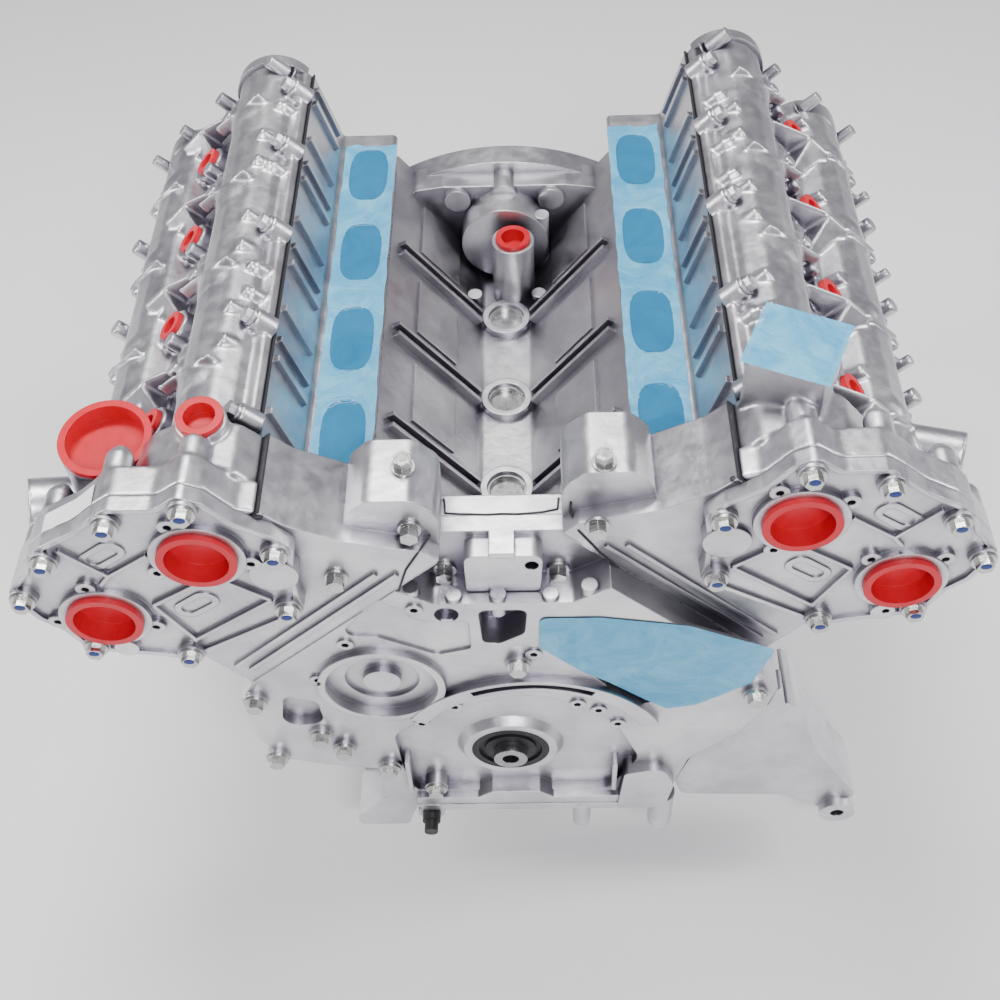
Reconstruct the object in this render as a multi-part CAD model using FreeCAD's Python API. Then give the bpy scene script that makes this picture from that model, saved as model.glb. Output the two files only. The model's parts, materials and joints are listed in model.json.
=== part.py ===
import FreeCAD, Part
import math
import os

V = FreeCAD.Vector

# Frame: origin on the crank axis at the face of the front seal, +Y to the flywheel end,
# +X to the right bank seen from the front, +Z up. Millimetres.

# Driving dimensions of the cylinders and the crank train
bore = 94.0
stroke = 83.0
bore_pitch = 105.5
rod_length = 148.5
compression_height = 31.0
bank_offset = 22.0
bank_angle = 45.0
first_throw_y = 139.5
cylinders_per_bank = 4

# Running clearances and seats
running_clearance = 0.05
seat_gap = 0.3
piston_clearance = 0.08
side_clearance = 0.6

# Crankshaft
main_radius = 32.0
main_length = 23.0
pin_radius = 26.0
web_thickness = 17.0
web_radius = 39.0
counterweight_radius = 76.0
counterweight_half_angle = 62.0
snout_radius = 14.0
snout_bore_radius = 7.0
snout_reach = 9.0
seal_radius = 32.5
seal_width = 9.0
flange_radius = 45.0
flange_length = 16.0
rear_seal_radius = 53.0
flange_bolt_circle = 66.0
flange_bolts = 8
flange_bolt_radius = 5.0
sprocket_width = 9.0

# Pistons and rods
piston_height = 52.0
crown_thickness = 11.0
wrist_pin_radius = 11.0
wrist_pin_length = 62.0
small_end_radius = 17.0
small_end_width = 20.0
big_end_wall = 9.0
rod_width = 21.0
rod_shank_width = 20.0
rod_shank_thickness = 13.0

# Cylinder block
block_front = 42.0
front_wall = 18.0
front_notch_height = 176.0
front_chamber_end = 62.0
block_rear = 532.0
valley_floor = 104.0
valley_floor_half = 24.0
deck_inner = 75.0
deck_outer = 80.0
skirt_half = 150.0
skirt_bottom = -85.0
rail_height = 12.0
rail_half = 165.0
crankcase_radius = 88.0
bulkhead_thickness = 22.0
main_cap_half = 60.0
main_cap_height = 52.0
bell_radius = 208.0
bell_thickness = 24.0
bell_bolt_radius = 5.5
bell_bolt_circle = 376.0
bell_bolt_angles = (-20.0, 20.0, 40.0, 58.0, 76.0, 90.0, 104.0, 122.0, 140.0, 160.0, 200.0)
core_plug_radius = 17.0
core_boss_wall = 6.0
core_boss_height = 9.0
valley_rib_thickness = 4.0
valley_rib_spacing = 12.0
valley_rib_height = 8.0
valley_panel_height = 3.0
valley_port_radius = 14.0
valley_port_inset = 90.0
valley_port_height = 176.0
valley_studs = ((-30.0, 424.0, 7.0, 124.0), (32.0, 424.0, 7.0, 124.0), (36.0, 474.0, 7.0, 180.0))

# Cylinder heads
gasket_thickness = 1.2
head_front = -128.0
head_main_front = -60.0
head_rear = 378.0
seam_height = 345.0
intake_face_outer = 73.5
intake_port_width = 39.0
intake_port_length = 58.0
intake_port_depth = 34.0
exhaust_port_width = 36.0
exhaust_port_height = 30.0
tray_floor = 300.0
tray_wall = 12.0
cam_tunnel_front = -116.0
cam_tunnel_rear = -62.0
head_rib_height = 2.5

# Camshafts: distance along the bore axis, distance towards the valley
intake_cam_height = 355.0
intake_cam_reach = 66.0
exhaust_cam_height = 361.0
exhaust_cam_reach = -41.0
cam_journal_radius = 14.0
cam_base_radius = 17.0
cam_nose_radius = 7.0
cam_lift = 9.0
lobe_width = 48.0
cam_front = -112.0
phaser_radius = 30.0
phaser_length = 14.0
phaser_front = -112.0
cam_sprocket_radius = 34.0
second_sprocket_radius = 24.0
second_chain_offset = -82.0
chain_offset = -98.0
chain_thickness = 4.5
chain_width = 8.0
bearing_bridge_thickness = 12.0
bearing_bridge_wall = 9.0
bridge_wall_gap = 0.5

# Valves and tappets
valve_stem_radius = 3.0
intake_valve_radius = 18.0
exhaust_valve_radius = 15.5
valve_spacing = 38.0
valve_seat_reach = 19.0
valve_recess = 8.0
valve_head_depth = 5.0
chamber_radius = 45.0
chamber_depth = 10.0
spark_hole_radius = 8.0
tappet_radius = 14.5
tappet_height = 12.0

# Cam covers
seam_thickness = 1.5
seam_lip = 1.2
well_place = -6.0
well_radius = 17.0
well_opening = 10.5
cover_rear = 378.0
wedge_rise = 19.0
ramp_shift = {"right": -14.0, "left": 40.0}
flank_posts = {"right": (28.0, 190.0, 231.0, 297.0), "left": (84.0, 113.0, 237.0, 320.0)}
flank_post_radius = 6.5
flank_post_top = 368.0
well_posts = {"right": ((-27.0, 14.0, 6.0, 385.0),), "left": ((-27.0, -36.0, 6.5, 392.0),)}
outer_posts = {"right": ((-18.0, 5.0, 391.0), (-56.0, 7.5, 388.0)), "left": ((-44.0, 7.5, 391.0), (13.0, 5.5, 384.0))}
rear_collar_radius = 34.0
rear_collar_reach = 8.0
cover_flange_depth = 26.0
well_top = 376.0

# Timing cover and the two cam end covers
timing_front = 0.0
timing_wall = 12.0
end_cover_thickness = 12.0
end_cover_rim = 4.0
end_cover_pocket = 2.5
end_cover_rib_width = 3.0
end_cover_ribs = (((-49, 334), (6, 344)), ((6, 344), (22, 298)), ((-53, 326), (-57, 288)), ((-57, 287), (24, 297)),
                  ((-42, 380), (-3, 386)), ((-5, 427), (-3, 386)), ((-3, 386), (10, 384)))
end_cover_dome = (-83.0, 304.0)
end_cover_dome_radius = 17.0
end_cover_loops = ((-14.0, 321.0), (-19.0, 401.0))
end_cover_stub = (62.0, 330.0)
port_ears = {
    "right": {"intake": (78.0, 166.0, 290.0), "exhaust": (88.0, 180.0, 307.0)},
    "left": {"intake": (15.0, 113.0, 239.0), "exhaust": (38.0, 126.0, 246.0)},
}
port_radius = 25.0
port_flange_radius = 33.0
bolt_head_radius = 6.5
bolt_head_height = 8.0
washer_radius = 9.0
washer_thickness = 2.5

front_top_height = 268.0
front_deck_reach = 161.0
front_deck_outer = 60.0
pump_recess_centre = (-98.0, 110.0)
pump_recess_radius = 41.0
crank_boss_radius = 47.0
arch_centre = (18.0, 6.0)
arch_inner_radius = 98.0
arch_outer_radius = 112.0
right_chain_front = 34.0

# Oil pans
upper_pan_bottom = -140.0
lower_pan_bottom = -205.0
pan_wall = 6.0
pan_flange = 9.0
pan_half = 132.0
lower_pan_front = 150.0
lower_pan_half = 105.0
drain_plug_radius = 11.0
level_sensor_place = (-73.0, -104.0)
level_sensor_radius = 8.0

# Masking film and plugs
film_thickness = 0.6
film_inner = 98.6
film_outer = 146.0
plug_lip = 4.0
plug_lip_reach = 2.5
plug_wall = 3.0
plug_depth = 14.0
filler_place = (-280.0, 79.0, 314.0)
filler_radius = 31.0
filler_tilt = 4.0
neck_wall = 2.5
left_fitting_place = (-352.0, 70.0, 250.0)
left_fitting_aim = (-0.9, -0.25, 0.25)
right_fitting_place = (352.0, 120.0, 232.0)
right_fitting_aim = (0.8, -0.3, 0.1)
left_fitting_radius = 15.0
right_fitting_radius = 11.0
small_port_place = (-203.0, 64.0, 352.0)
small_port_radius = 14.0
pump_pad_place = (203.0, 98.0, 378.0)
pump_pad_size = 56.0
pump_pad_turn = -24.0

# Values that follow from the sizes above
crank_radius = stroke / 2
crank_sprocket_radius = cam_sprocket_radius / 2
deck_height = crank_radius + rod_length + compression_height
lean = math.sqrt(0.5)
bank_shift = {"right": bank_offset / 2, "left": -bank_offset / 2}
mains = [first_throw_y + bore_pitch * (i - 0.5) for i in range(cylinders_per_bank + 1)]
throws = [first_throw_y + bore_pitch * i for i in range(cylinders_per_bank)]
cylinders = [bore_pitch * i for i in range(cylinders_per_bank)]
throw_angles = (135.0, 45.0, 225.0, 315.0)
head_bottom = deck_height + gasket_thickness
cover_bottom = seam_height + seam_thickness
front_top = deck_height
cam_axes = {
    "intake": (-intake_cam_reach, intake_cam_height),
    "exhaust": (-exhaust_cam_reach, exhaust_cam_height),
}


# Small helpers


def box(x0, x1, y0, y1, z0, z1):
    return Part.makeBox(x1 - x0, y1 - y0, z1 - z0, V(x0, y0, z0))


def cylinder_y(x, z, radius, y0, y1):
    return Part.makeCylinder(radius, y1 - y0, V(x, y0, z), V(0, 1, 0))


def cylinder_z(x, y, radius, z0, z1):
    return Part.makeCylinder(radius, z1 - z0, V(x, y, z0), V(0, 0, 1))


def outline(points, y):
    """Closed outline in the plane at y; a point is (x, z) or (x, z, corner radius)."""
    corners = [V(p[0], y, p[1]) for p in points]
    radii = [p[2] if len(p) > 2 else 0.0 for p in points]
    count = len(corners)
    starts = []
    ends = []
    middles = []
    for i in range(count):
        before = corners[i - 1] - corners[i]
        after = corners[(i + 1) % count] - corners[i]
        room = 0.48 * min(before.Length, after.Length)
        before.normalize()
        after.normalize()
        half = before.getAngle(after) / 2
        if radii[i] > 0 and half < math.pi / 2 - 0.01:
            back = min(radii[i] / math.tan(half), room)
            radius = back * math.tan(half)
            inward = (before + after).normalize()
            centre = corners[i] + inward * (radius / math.sin(half))
            starts.append(corners[i] + before * back)
            ends.append(corners[i] + after * back)
            middles.append(centre - inward * radius)
        else:
            starts.append(corners[i])
            ends.append(corners[i])
            middles.append(None)
    edges = []
    for i in range(count):
        if middles[i] is not None:
            edges.append(Part.Arc(starts[i], middles[i], ends[i]).toShape())
        following = starts[(i + 1) % count]
        if (following - ends[i]).Length > 0.001:
            edges.append(Part.LineSegment(ends[i], following).toShape())
    return Part.Wire(edges)


def slab(points, y0, y1):
    return Part.Face(outline(points, y0)).extrude(V(0, y1 - y0, 0))


def fuse(shapes):
    whole = shapes[0]
    if len(shapes) > 1:
        whole = whole.fuse(shapes[1:])
    return whole.removeSplitter()


def cut(shape, tools):
    return shape.cut(tools) if tools else shape


def group(shapes):
    return Part.Compound(shapes)


def in_bank(shape, side):
    """Turns a shape from its upright bank (x outward, z along the bores) into the engine."""
    placed = shape.copy()
    placed.rotate(V(0, 0, 0), V(0, 1, 0), bank_angle)
    placed.translate(V(0, first_throw_y + bank_shift[side], 0))
    if side == "left":
        placed = placed.mirror(V(0, 0, 0), V(1, 0, 0))
    return placed


def bank_point(x, z):
    """Engine X and Z of a point of the right bank."""
    return (lean * (x + z), lean * (z - x))


def rounded_slot_z(x, y, half_x, half_y, corner, z0, z1):
    """Rounded rectangular plug along z."""
    points = [
        (x - half_x, y - half_y, corner),
        (x + half_x, y - half_y, corner),
        (x + half_x, y + half_y, corner),
        (x - half_x, y + half_y, corner),
    ]
    flat = slab(points, 0, z1 - z0)
    flat.rotate(V(0, 0, 0), V(1, 0, 0), 90)
    flat = flat.mirror(V(0, 0, 0), V(0, 1, 0))
    flat.translate(V(0, 0, z0))
    return flat


# Crank train


def crank_pin_centre(index):
    angle = math.radians(throw_angles[index])
    return (crank_radius * math.cos(angle), crank_radius * math.sin(angle))


def crank_web(index, y0):
    """One web: a round about the pin, run into a counterweight sector opposite it."""
    half = math.radians(counterweight_half_angle)
    side_x = counterweight_radius * math.sin(half)
    side_z = -counterweight_radius * math.cos(half)
    sector = Part.Wire([
        Part.Arc(V(side_x, y0, side_z), V(0, y0, -counterweight_radius), V(-side_x, y0, side_z)).toShape(),
        Part.LineSegment(V(-side_x, y0, side_z), V(-web_radius, y0, crank_radius)).toShape(),
        Part.Arc(
            V(-web_radius, y0, crank_radius),
            V(0, y0, crank_radius + web_radius),
            V(web_radius, y0, crank_radius),
        ).toShape(),
        Part.LineSegment(V(web_radius, y0, crank_radius), V(side_x, y0, side_z)).toShape(),
    ])
    web = Part.Face(sector).extrude(V(0, web_thickness, 0))
    web.rotate(V(0, 0, 0), V(0, 1, 0), 90 - throw_angles[index])
    return web


def crankshaft():
    pieces = []
    for index, y in enumerate(throws):
        front = mains[index] + main_length / 2
        rear = mains[index + 1] - main_length / 2
        x, z = crank_pin_centre(index)
        pieces.append(crank_web(index, front))
        pieces.append(crank_web(index, rear - web_thickness))
        pieces.append(cylinder_y(x, z, pin_radius, front, rear))
    for y in mains:
        pieces.append(cylinder_y(0, 0, main_radius, y - main_length / 2, y + main_length / 2))
    nose_start = -snout_reach
    pieces.append(cylinder_y(0, 0, snout_radius, nose_start, mains[0]))
    flange_start = mains[-1] + main_length / 2
    flange_end = bell_face() - 4
    pieces.append(cylinder_y(0, 0, flange_radius, flange_start, flange_end))
    shaft = fuse(pieces)
    tools = [cylinder_y(0, 0, snout_bore_radius, nose_start, nose_start + 30)]
    for i in range(flange_bolts):
        angle = 2 * math.pi * i / flange_bolts
        x = flange_bolt_circle / 2 * math.cos(angle)
        z = flange_bolt_circle / 2 * math.sin(angle)
        tools.append(cylinder_y(x, z, flange_bolt_radius, flange_end - flange_length, flange_end))
    shaft = cut(shaft, tools)
    sprockets = []
    for side in ("left", "right"):
        y = chain_y(side)
        ring = cylinder_y(0, 0, crank_sprocket_radius, y - sprocket_width / 2, y + sprocket_width / 2)
        sprockets.append(ring.cut(cylinder_y(0, 0, snout_radius, y - sprocket_width, y + sprocket_width)))
    return group([shaft] + sprockets)


def bell_face():
    return block_rear + bell_thickness - 11


def chain_y(side):
    return first_throw_y + bank_shift[side] + chain_offset


def crankpin_in_bank(side, index):
    """Crankpin centre in the upright frame of a bank."""
    x, z = crank_pin_centre(index)
    if side == "left":
        x = -x
    return (lean * (x - z), lean * (x + z))


def wrist_height(side, index):
    x, z = crankpin_in_bank(side, index)
    return z + math.sqrt(rod_length ** 2 - x ** 2)


def piston(side, index):
    """Piston and wrist pin, upright in the bank."""
    y = cylinders[index]
    pin_z = wrist_height(side, index)
    top = pin_z + compression_height
    body = cylinder_z(0, y, bore / 2 - piston_clearance, top - piston_height, top)
    rod_room = small_end_width / 2 + side_clearance
    room_half = small_end_radius + 6
    tools = [
        box(-room_half, room_half, y - rod_room, y + rod_room, top - piston_height, top - crown_thickness),
        cylinder_y(0, pin_z, wrist_pin_radius, y - bore, y + bore),
        box(-bore, -bore / 2 + 7, y - bore, y + bore, top - piston_height, pin_z - 12),
        box(bore / 2 - 7, bore, y - bore, y + bore, top - piston_height, pin_z - 12),
    ]
    turned = []
    for tool in tools[2:]:
        tool.rotate(V(0, y, 0), V(0, 0, 1), 90)
        turned.append(tool)
    body = cut(body, tools[:2] + turned)
    pin = cylinder_y(0, pin_z, wrist_pin_radius, y - wrist_pin_length / 2, y + wrist_pin_length / 2)
    return in_bank(group([body, pin]), side)


def rod(side, index):
    """Connecting rod with its bolted cap, upright in the bank."""
    y = cylinders[index]
    pin_x, pin_z = crankpin_in_bank(side, index)
    top_z = wrist_height(side, index)
    big = pin_radius + big_end_wall
    shoulder = big + 5
    half = rod_width / 2
    cap_room = running_clearance
    shank_points = [
        (-rod_shank_width / 2 - 3, big * 0.6),
        (rod_shank_width / 2 + 3, big * 0.6),
        (rod_shank_width / 2 - 2, rod_length - small_end_radius * 0.7),
        (-rod_shank_width / 2 + 2, rod_length - small_end_radius * 0.7),
    ]
    shank = slab(shank_points, -rod_shank_thickness / 2, rod_shank_thickness / 2)
    upper = slab([(-shoulder, 0), (shoulder, 0), (shoulder, 12), (big * 0.6, big), (-big * 0.6, big),
                  (-shoulder, 12)], -half, half)
    small = cylinder_y(0, rod_length, small_end_radius, -small_end_width / 2, small_end_width / 2)
    beam = fuse([shank, upper, small])
    holes = [
        cylinder_y(0, 0, pin_radius + running_clearance, -rod_width, rod_width),
        cylinder_y(0, rod_length, wrist_pin_radius + running_clearance, -rod_width, rod_width),
    ]
    beam = cut(beam, holes)
    cap = slab([(-shoulder, -cap_room), (-shoulder, -14), (-big * 0.6, -big), (big * 0.6, -big),
                (shoulder, -14), (shoulder, -cap_room)], -half, half)
    cap = cut(cap, holes[:1])
    whole = group([beam, cap])
    whole.rotate(V(0, 0, 0), V(0, 1, 0), math.degrees(math.atan2(-pin_x, top_z - pin_z)))
    whole.translate(V(pin_x, y, pin_z))
    return in_bank(whole, side)


# Block and bottom end


def block_section():
    """Outline of the V block seen from the front, both banks."""
    right = [
        (valley_floor_half, valley_floor, 8),
        bank_point(-deck_inner, deck_height),
        bank_point(deck_outer, deck_height),
        bank_point(deck_outer - 6, 150) + (15,),
        (skirt_half, 10, 15),
        (skirt_half, skirt_bottom + rail_height),
        (rail_half, skirt_bottom + rail_height),
        (rail_half, skirt_bottom),
    ]
    left = [(-p[0],) + tuple(p[1:]) for p in reversed(right)]
    return right + left


def valley_ribs():
    """Pairs of ribs down the valley walls, level with the main bearings, and raised panels between them."""
    ribs = []
    for side in ("right", "left"):
        for y in mains[1:-1]:
            for shift in (-valley_rib_spacing / 2, valley_rib_spacing / 2):
                local_y = y - first_throw_y - bank_shift[side] + shift
                top = valley_wall_x(deck_height - 12)
                foot = valley_wall_x(97)
                rib = slab([(top - valley_rib_height, deck_height - 12), (top + 6, deck_height - 8), (foot + 4, 97),
                            (foot - valley_rib_height, 97)],
                           local_y - valley_rib_thickness / 2, local_y + valley_rib_thickness / 2)
                ribs.append(in_bank(rib, side))
        for y in mains[:-1]:
            local_y = y + bore_pitch / 2 - first_throw_y - bank_shift[side]
            low = valley_wall_x(128)
            high = valley_wall_x(182)
            panel = slab([(low - valley_panel_height, 128), (low + 3, 128), (high + 3, 182),
                          (high - valley_panel_height, 182)], local_y - 33, local_y + 33)
            ribs.append(in_bank(panel, side))
    return ribs


def valley_wall_x(height):
    """Where the valley wall stands at a height along the bores, upright in the bank."""
    foot_x = lean * (valley_floor_half - valley_floor)
    foot_z = lean * (valley_floor_half + valley_floor)
    share = (height - foot_z) / (deck_height - foot_z)
    return foot_x + share * (-deck_inner - foot_x)


def front_face_points():
    """Outline shared by the timing cover and the front of the block."""
    right = [
        (43, front_top_height),
        bank_point(-front_deck_reach + 3, front_top),
        bank_point(front_deck_outer, front_top),
        (212, 96, 8),
        (204, 58, 12),
        (186, 22, 16),
        (150, -18, 20),
        (139, -70, 10),
        (128, skirt_bottom),
    ]
    left = [
        (-118, skirt_bottom),
        (-101, -34, 12),
        (-158, -22, 24),
        (-192, -10, 18),
        (-208, 24, 12),
        (-212, 88, 10),
        bank_point(front_deck_outer, front_top),
        bank_point(-front_deck_reach + 3, front_top),
        (-43, front_top_height),
    ]
    left[6] = (-left[6][0], left[6][1])
    left[7] = (-left[7][0], left[7][1])
    return right + left


def chain_case_points():
    """Room for the timing chains behind the timing cover."""
    top_x, top_z = bank_point(-92, front_top + 1)
    out_x, out_z = bank_point(46, front_top + 1)
    return [
        (0, 150, 10), (top_x, top_z), (out_x, out_z), (150, 40, 20), (90, -50, 20), (-90, -50, 20), (-150, 40, 20),
        (-out_x, out_z), (-top_x, top_z),
    ]


def cylinder_block():
    body = slab(block_section(), block_front + 1, block_rear)
    front = slab(front_face_points(), block_front, block_front + front_wall)
    inner_x, inner_z = bank_point(-90, deck_height)
    notch = [(-inner_x, inner_z), (-40, front_notch_height), (40, front_notch_height), (inner_x, inner_z)]
    front_fill = slab(front_face_points()[2:16] + notch, block_front + front_wall - 1, mains[0] - 8)
    bell = cylinder_y(0, 0, bell_radius, block_rear - 13, bell_face())
    bell_cut = box(-bell_radius, bell_radius, block_rear - 14, bell_face() + 1, -bell_radius, skirt_bottom)
    rear_wall = slab(
        [(-valley_floor_half - 4, valley_floor - 10), (valley_floor_half + 4, valley_floor - 10),
         (100, 190, 10), (60, 196, 10), (-60, 196, 10), (-100, 190, 10)],
        block_rear - 34, block_rear)
    dome = cylinder_y(0, 150, 42, block_rear - 66, block_rear)
    port_boss = cylinder_z(8, block_rear - valley_port_inset, valley_port_radius + 6, valley_floor - 10,
                           valley_port_height)
    pieces = [body, front, front_fill, bell.cut(bell_cut), rear_wall, dome, port_boss] + valley_ribs()
    for angle in bell_bolt_angles[3:8]:
        x = bell_bolt_circle / 2 * math.cos(math.radians(angle))
        z = bell_bolt_circle / 2 * math.sin(math.radians(angle))
        pieces.append(cylinder_y(x, z, bell_bolt_radius + 7, block_rear - 40, block_rear))
    for y in core_plug_places():
        pieces.append(cylinder_z(0, y, core_plug_radius + core_boss_wall, valley_floor - 12,
                                 valley_floor + core_boss_height))
    for x, y, radius, top in valley_studs:
        pieces.append(cylinder_z(x, y, radius, valley_floor - 12, top))
    block = fuse(pieces)
    tools = [slab(chain_case_points(), block_front - 1, front_chamber_end)]
    for side in ("right", "left"):
        for y in cylinders:
            tools.append(in_bank(cylinder_z(0, y, bore / 2, 60, deck_height + 1), side))
    for index in range(cylinders_per_bank):
        front_y = mains[index] + bulkhead_thickness / 2
        rear_y = mains[index + 1] - bulkhead_thickness / 2
        tools.append(cylinder_y(0, 0, crankcase_radius, front_y, rear_y))
        tools.append(box(-crankcase_radius, crankcase_radius, front_y, rear_y, skirt_bottom - 1, 0))
    cap_half = main_cap_half
    tools.append(box(-cap_half, cap_half, front_chamber_end - 1, mains[-1] + bulkhead_thickness / 2,
                     skirt_bottom - 1, 0))
    tools.append(cylinder_y(0, 0, main_radius + running_clearance, front_chamber_end - 1, block_rear))
    last_wall = mains[-1] + bulkhead_thickness / 2
    tools.append(cylinder_y(0, 0, rear_seal_radius, last_wall, bell_face() + 1))
    for y in core_plug_places():
        tools.append(cylinder_z(0, y, core_plug_radius, valley_floor - 4, valley_floor + core_boss_height + 1))
    tools.append(cylinder_z(8, block_rear - valley_port_inset, valley_port_radius, valley_port_height - 26,
                            valley_port_height + 1))
    for angle in bell_bolt_angles:
        x = bell_bolt_circle / 2 * math.cos(math.radians(angle))
        z = bell_bolt_circle / 2 * math.sin(math.radians(angle))
        tools.append(cylinder_y(x, z, bell_bolt_radius, block_rear - 20, bell_face() + 1))
    return cut(block, tools).removeSplitter()


def core_plug_places():
    return mains[1:-1]


def core_plugs():
    plugs = []
    for y in core_plug_places():
        cup = cylinder_z(0, y, core_plug_radius, valley_floor - 4, valley_floor + 5)
        plugs.append(cup.cut(cylinder_z(0, y, core_plug_radius - 2, valley_floor - 1, valley_floor + 6)))
    return group(plugs)


def main_caps():
    caps = []
    for y in mains:
        half = main_length / 2 - 1
        cap = slab([(-main_cap_half, 0), (main_cap_half, 0), (main_cap_half, -main_cap_height + 14),
                    (main_cap_half - 14, -main_cap_height), (-main_cap_half + 14, -main_cap_height),
                    (-main_cap_half, -main_cap_height + 14)], y - half, y + half)
        caps.append(cut(cap, [cylinder_y(0, 0, main_radius + running_clearance, y - bulkhead_thickness,
                                         y + bulkhead_thickness)]))
    return group(caps)


# Heads


def head_main_section():
    return [
        (-deck_inner, head_bottom),
        (-109.6, 248.2, 5),
        (-intake_face_outer, 284.3, 4),
        (-107, seam_height),
        (100, seam_height),
        (104, 305, 6),
        (92, 290, 8),
        (86, 250, 6),
        (deck_outer, head_bottom),
    ]


def head_front_section():
    return [
        (-front_deck_reach, head_bottom),
        (-front_deck_reach, 236, 8),
        (-132, 285, 30),
        (-119, 325, 20),
        (-119, seam_height),
        (84, seam_height),
        (74, 325, 10),
        (52, 288, 8),
        (front_deck_outer, head_bottom),
    ]


def head_ear_section():
    """Lobe of the head over the middle of the front, beside the valley."""
    return [
        (-front_deck_reach, head_bottom),
        (-185, 246, 16),
        (-185, 270, 12),
        (-163, 292, 12),
        (-140, 292, 20),
        (-110, 262),
        (-100, head_bottom),
    ]


def valve_lines(kind):
    """Seat point, unit direction and length to the cam axis of one row of valves."""
    reach = -valve_seat_reach if kind == "intake" else valve_seat_reach
    seat = V(reach, 0, head_bottom)
    cam_x, cam_z = cam_axes[kind]
    line = V(cam_x, 0, cam_z) - seat
    length = line.Length - valve_recess
    line.normalize()
    return seat + line * valve_recess, line, length


def cylinder_head(side):
    main = slab(head_main_section(), head_main_front, head_rear)
    front = slab(head_front_section(), head_front, head_main_front + 1)
    ear = slab(head_ear_section(), -115, -60)
    ribs = [rib_between(-130 + 10 * i, 234 + 11 * i, 44 + 4 * i, 234 + 11 * i, 4, head_front - head_rib_height,
                        head_front + 1)
            for i in range(2)]
    wall_ribs = [slab([(-84, 295), (-109, 340), (-103, 343), (-78, 296)], y + shift - 3, y + shift + 3)
                 for y in cylinders for shift in (-26, 26, 46)]
    head = fuse([main, front, ear] + ribs + wall_ribs)
    tray = slab([(-74, tray_floor, 4), (100 - tray_wall, tray_floor, 4), (100 - tray_wall, seam_height + 1),
                 (-99, seam_height + 1)], head_main_front + tray_wall, head_rear - tray_wall)
    tunnel_points = [(-76, head_bottom - 1), (-86, 262), (-96, 300), (-109, seam_height + 1),
                     (78, seam_height + 1), (64, 325), (44, 288), (46, head_bottom - 1)]
    tunnel = slab(tunnel_points, cam_tunnel_front, cam_tunnel_rear)
    opening = box(-95, 70, cam_tunnel_rear - 1, head_main_front + tray_wall + 1, 318, seam_height + 1)
    tools = [tray, tunnel, opening]
    for y in cylinders:
        port = rounded_slot_z(0, y, intake_port_width / 2, intake_port_length / 2, 15, -intake_port_depth, 2)
        port.rotate(V(0, 0, 0), V(0, 1, 0), -bank_angle)
        port.translate(V(-(109.6 + intake_face_outer) / 2, 0, (248.2 + 284.3) / 2))
        tools.append(port)
        exhaust = box(88, 110, y - exhaust_port_width / 2, y + exhaust_port_width / 2, 255, 255 + exhaust_port_height)
        tools.append(exhaust)
        tools.append(cylinder_z(0, y, chamber_radius, head_bottom - 1, head_bottom + chamber_depth))
        tools.append(cylinder_z(0, y, spark_hole_radius, head_bottom - 1, tray_floor + 1))
        for kind in ("intake", "exhaust"):
            seat, line, length = valve_lines(kind)
            radius = intake_valve_radius if kind == "intake" else exhaust_valve_radius
            for shift in (-valve_spacing / 2, valve_spacing / 2):
                start = seat + V(0, y + shift, 0)
                tools.append(Part.makeCylinder(valve_stem_radius + running_clearance, 110, start, line))
                tools.append(Part.makeCylinder(radius + seat_gap, chamber_depth + valve_head_depth,
                                               start - line * (chamber_depth - seat_gap), line))
    return in_bank(cut(head, tools).removeSplitter(), side)


def head_gaskets():
    gaskets = []
    for side in ("left", "right"):
        sheet = box(-deck_inner, deck_outer, head_main_front - 1, head_rear, deck_height, head_bottom)
        front = box(-front_deck_reach + 3, front_deck_outer, head_front, head_main_front, deck_height, head_bottom)
        holes = [cylinder_z(0, y, bore / 2 + 1, deck_height - 1, head_bottom + 1) for y in cylinders]
        holes.append(box(-76, 0, cam_tunnel_front, cam_tunnel_rear, deck_height - 1, head_bottom + 1))
        gaskets.append(in_bank(cut(fuse([sheet, front]), holes), side))
    return group(gaskets)


# Valve train


def camshaft(side, kind):
    x, z = cam_axes[kind]
    pieces = [cylinder_y(x, z, cam_journal_radius, cam_front, head_rear - tray_wall - 14)]
    for index, y in enumerate(cylinders):
        base = cylinder_y(x, z, cam_base_radius, y - lobe_width / 2, y + lobe_width / 2)
        rise = cam_base_radius + cam_lift - cam_nose_radius
        spread = cam_base_radius * 0.93
        nose = slab([(x - spread, z + 5), (x + spread, z + 5), (x + cam_nose_radius, z + rise + cam_nose_radius, 6),
                     (x - cam_nose_radius, z + rise + cam_nose_radius, 6)], y - lobe_width / 2, y + lobe_width / 2)
        nose.rotate(V(x, 0, z), V(0, 1, 0), (0, 70, -70, 20)[index])
        pieces += [base, nose]
    shaft = fuse(pieces)
    hub_end = second_chain_offset + sprocket_width / 2
    drive = [
        cylinder_y(x, z, phaser_radius, phaser_front, phaser_front + phaser_length),
        cylinder_y(x, z, second_sprocket_radius, phaser_front, hub_end),
    ]
    if kind == "intake":
        half = sprocket_width / 2
        drive.append(cylinder_y(x, z, cam_sprocket_radius, chain_offset - half, chain_offset + half))
    phaser = fuse(drive).cut(cylinder_y(x, z, cam_journal_radius, phaser_front - 1, hub_end + 1))
    return in_bank(group([shaft, phaser]), side)


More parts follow.
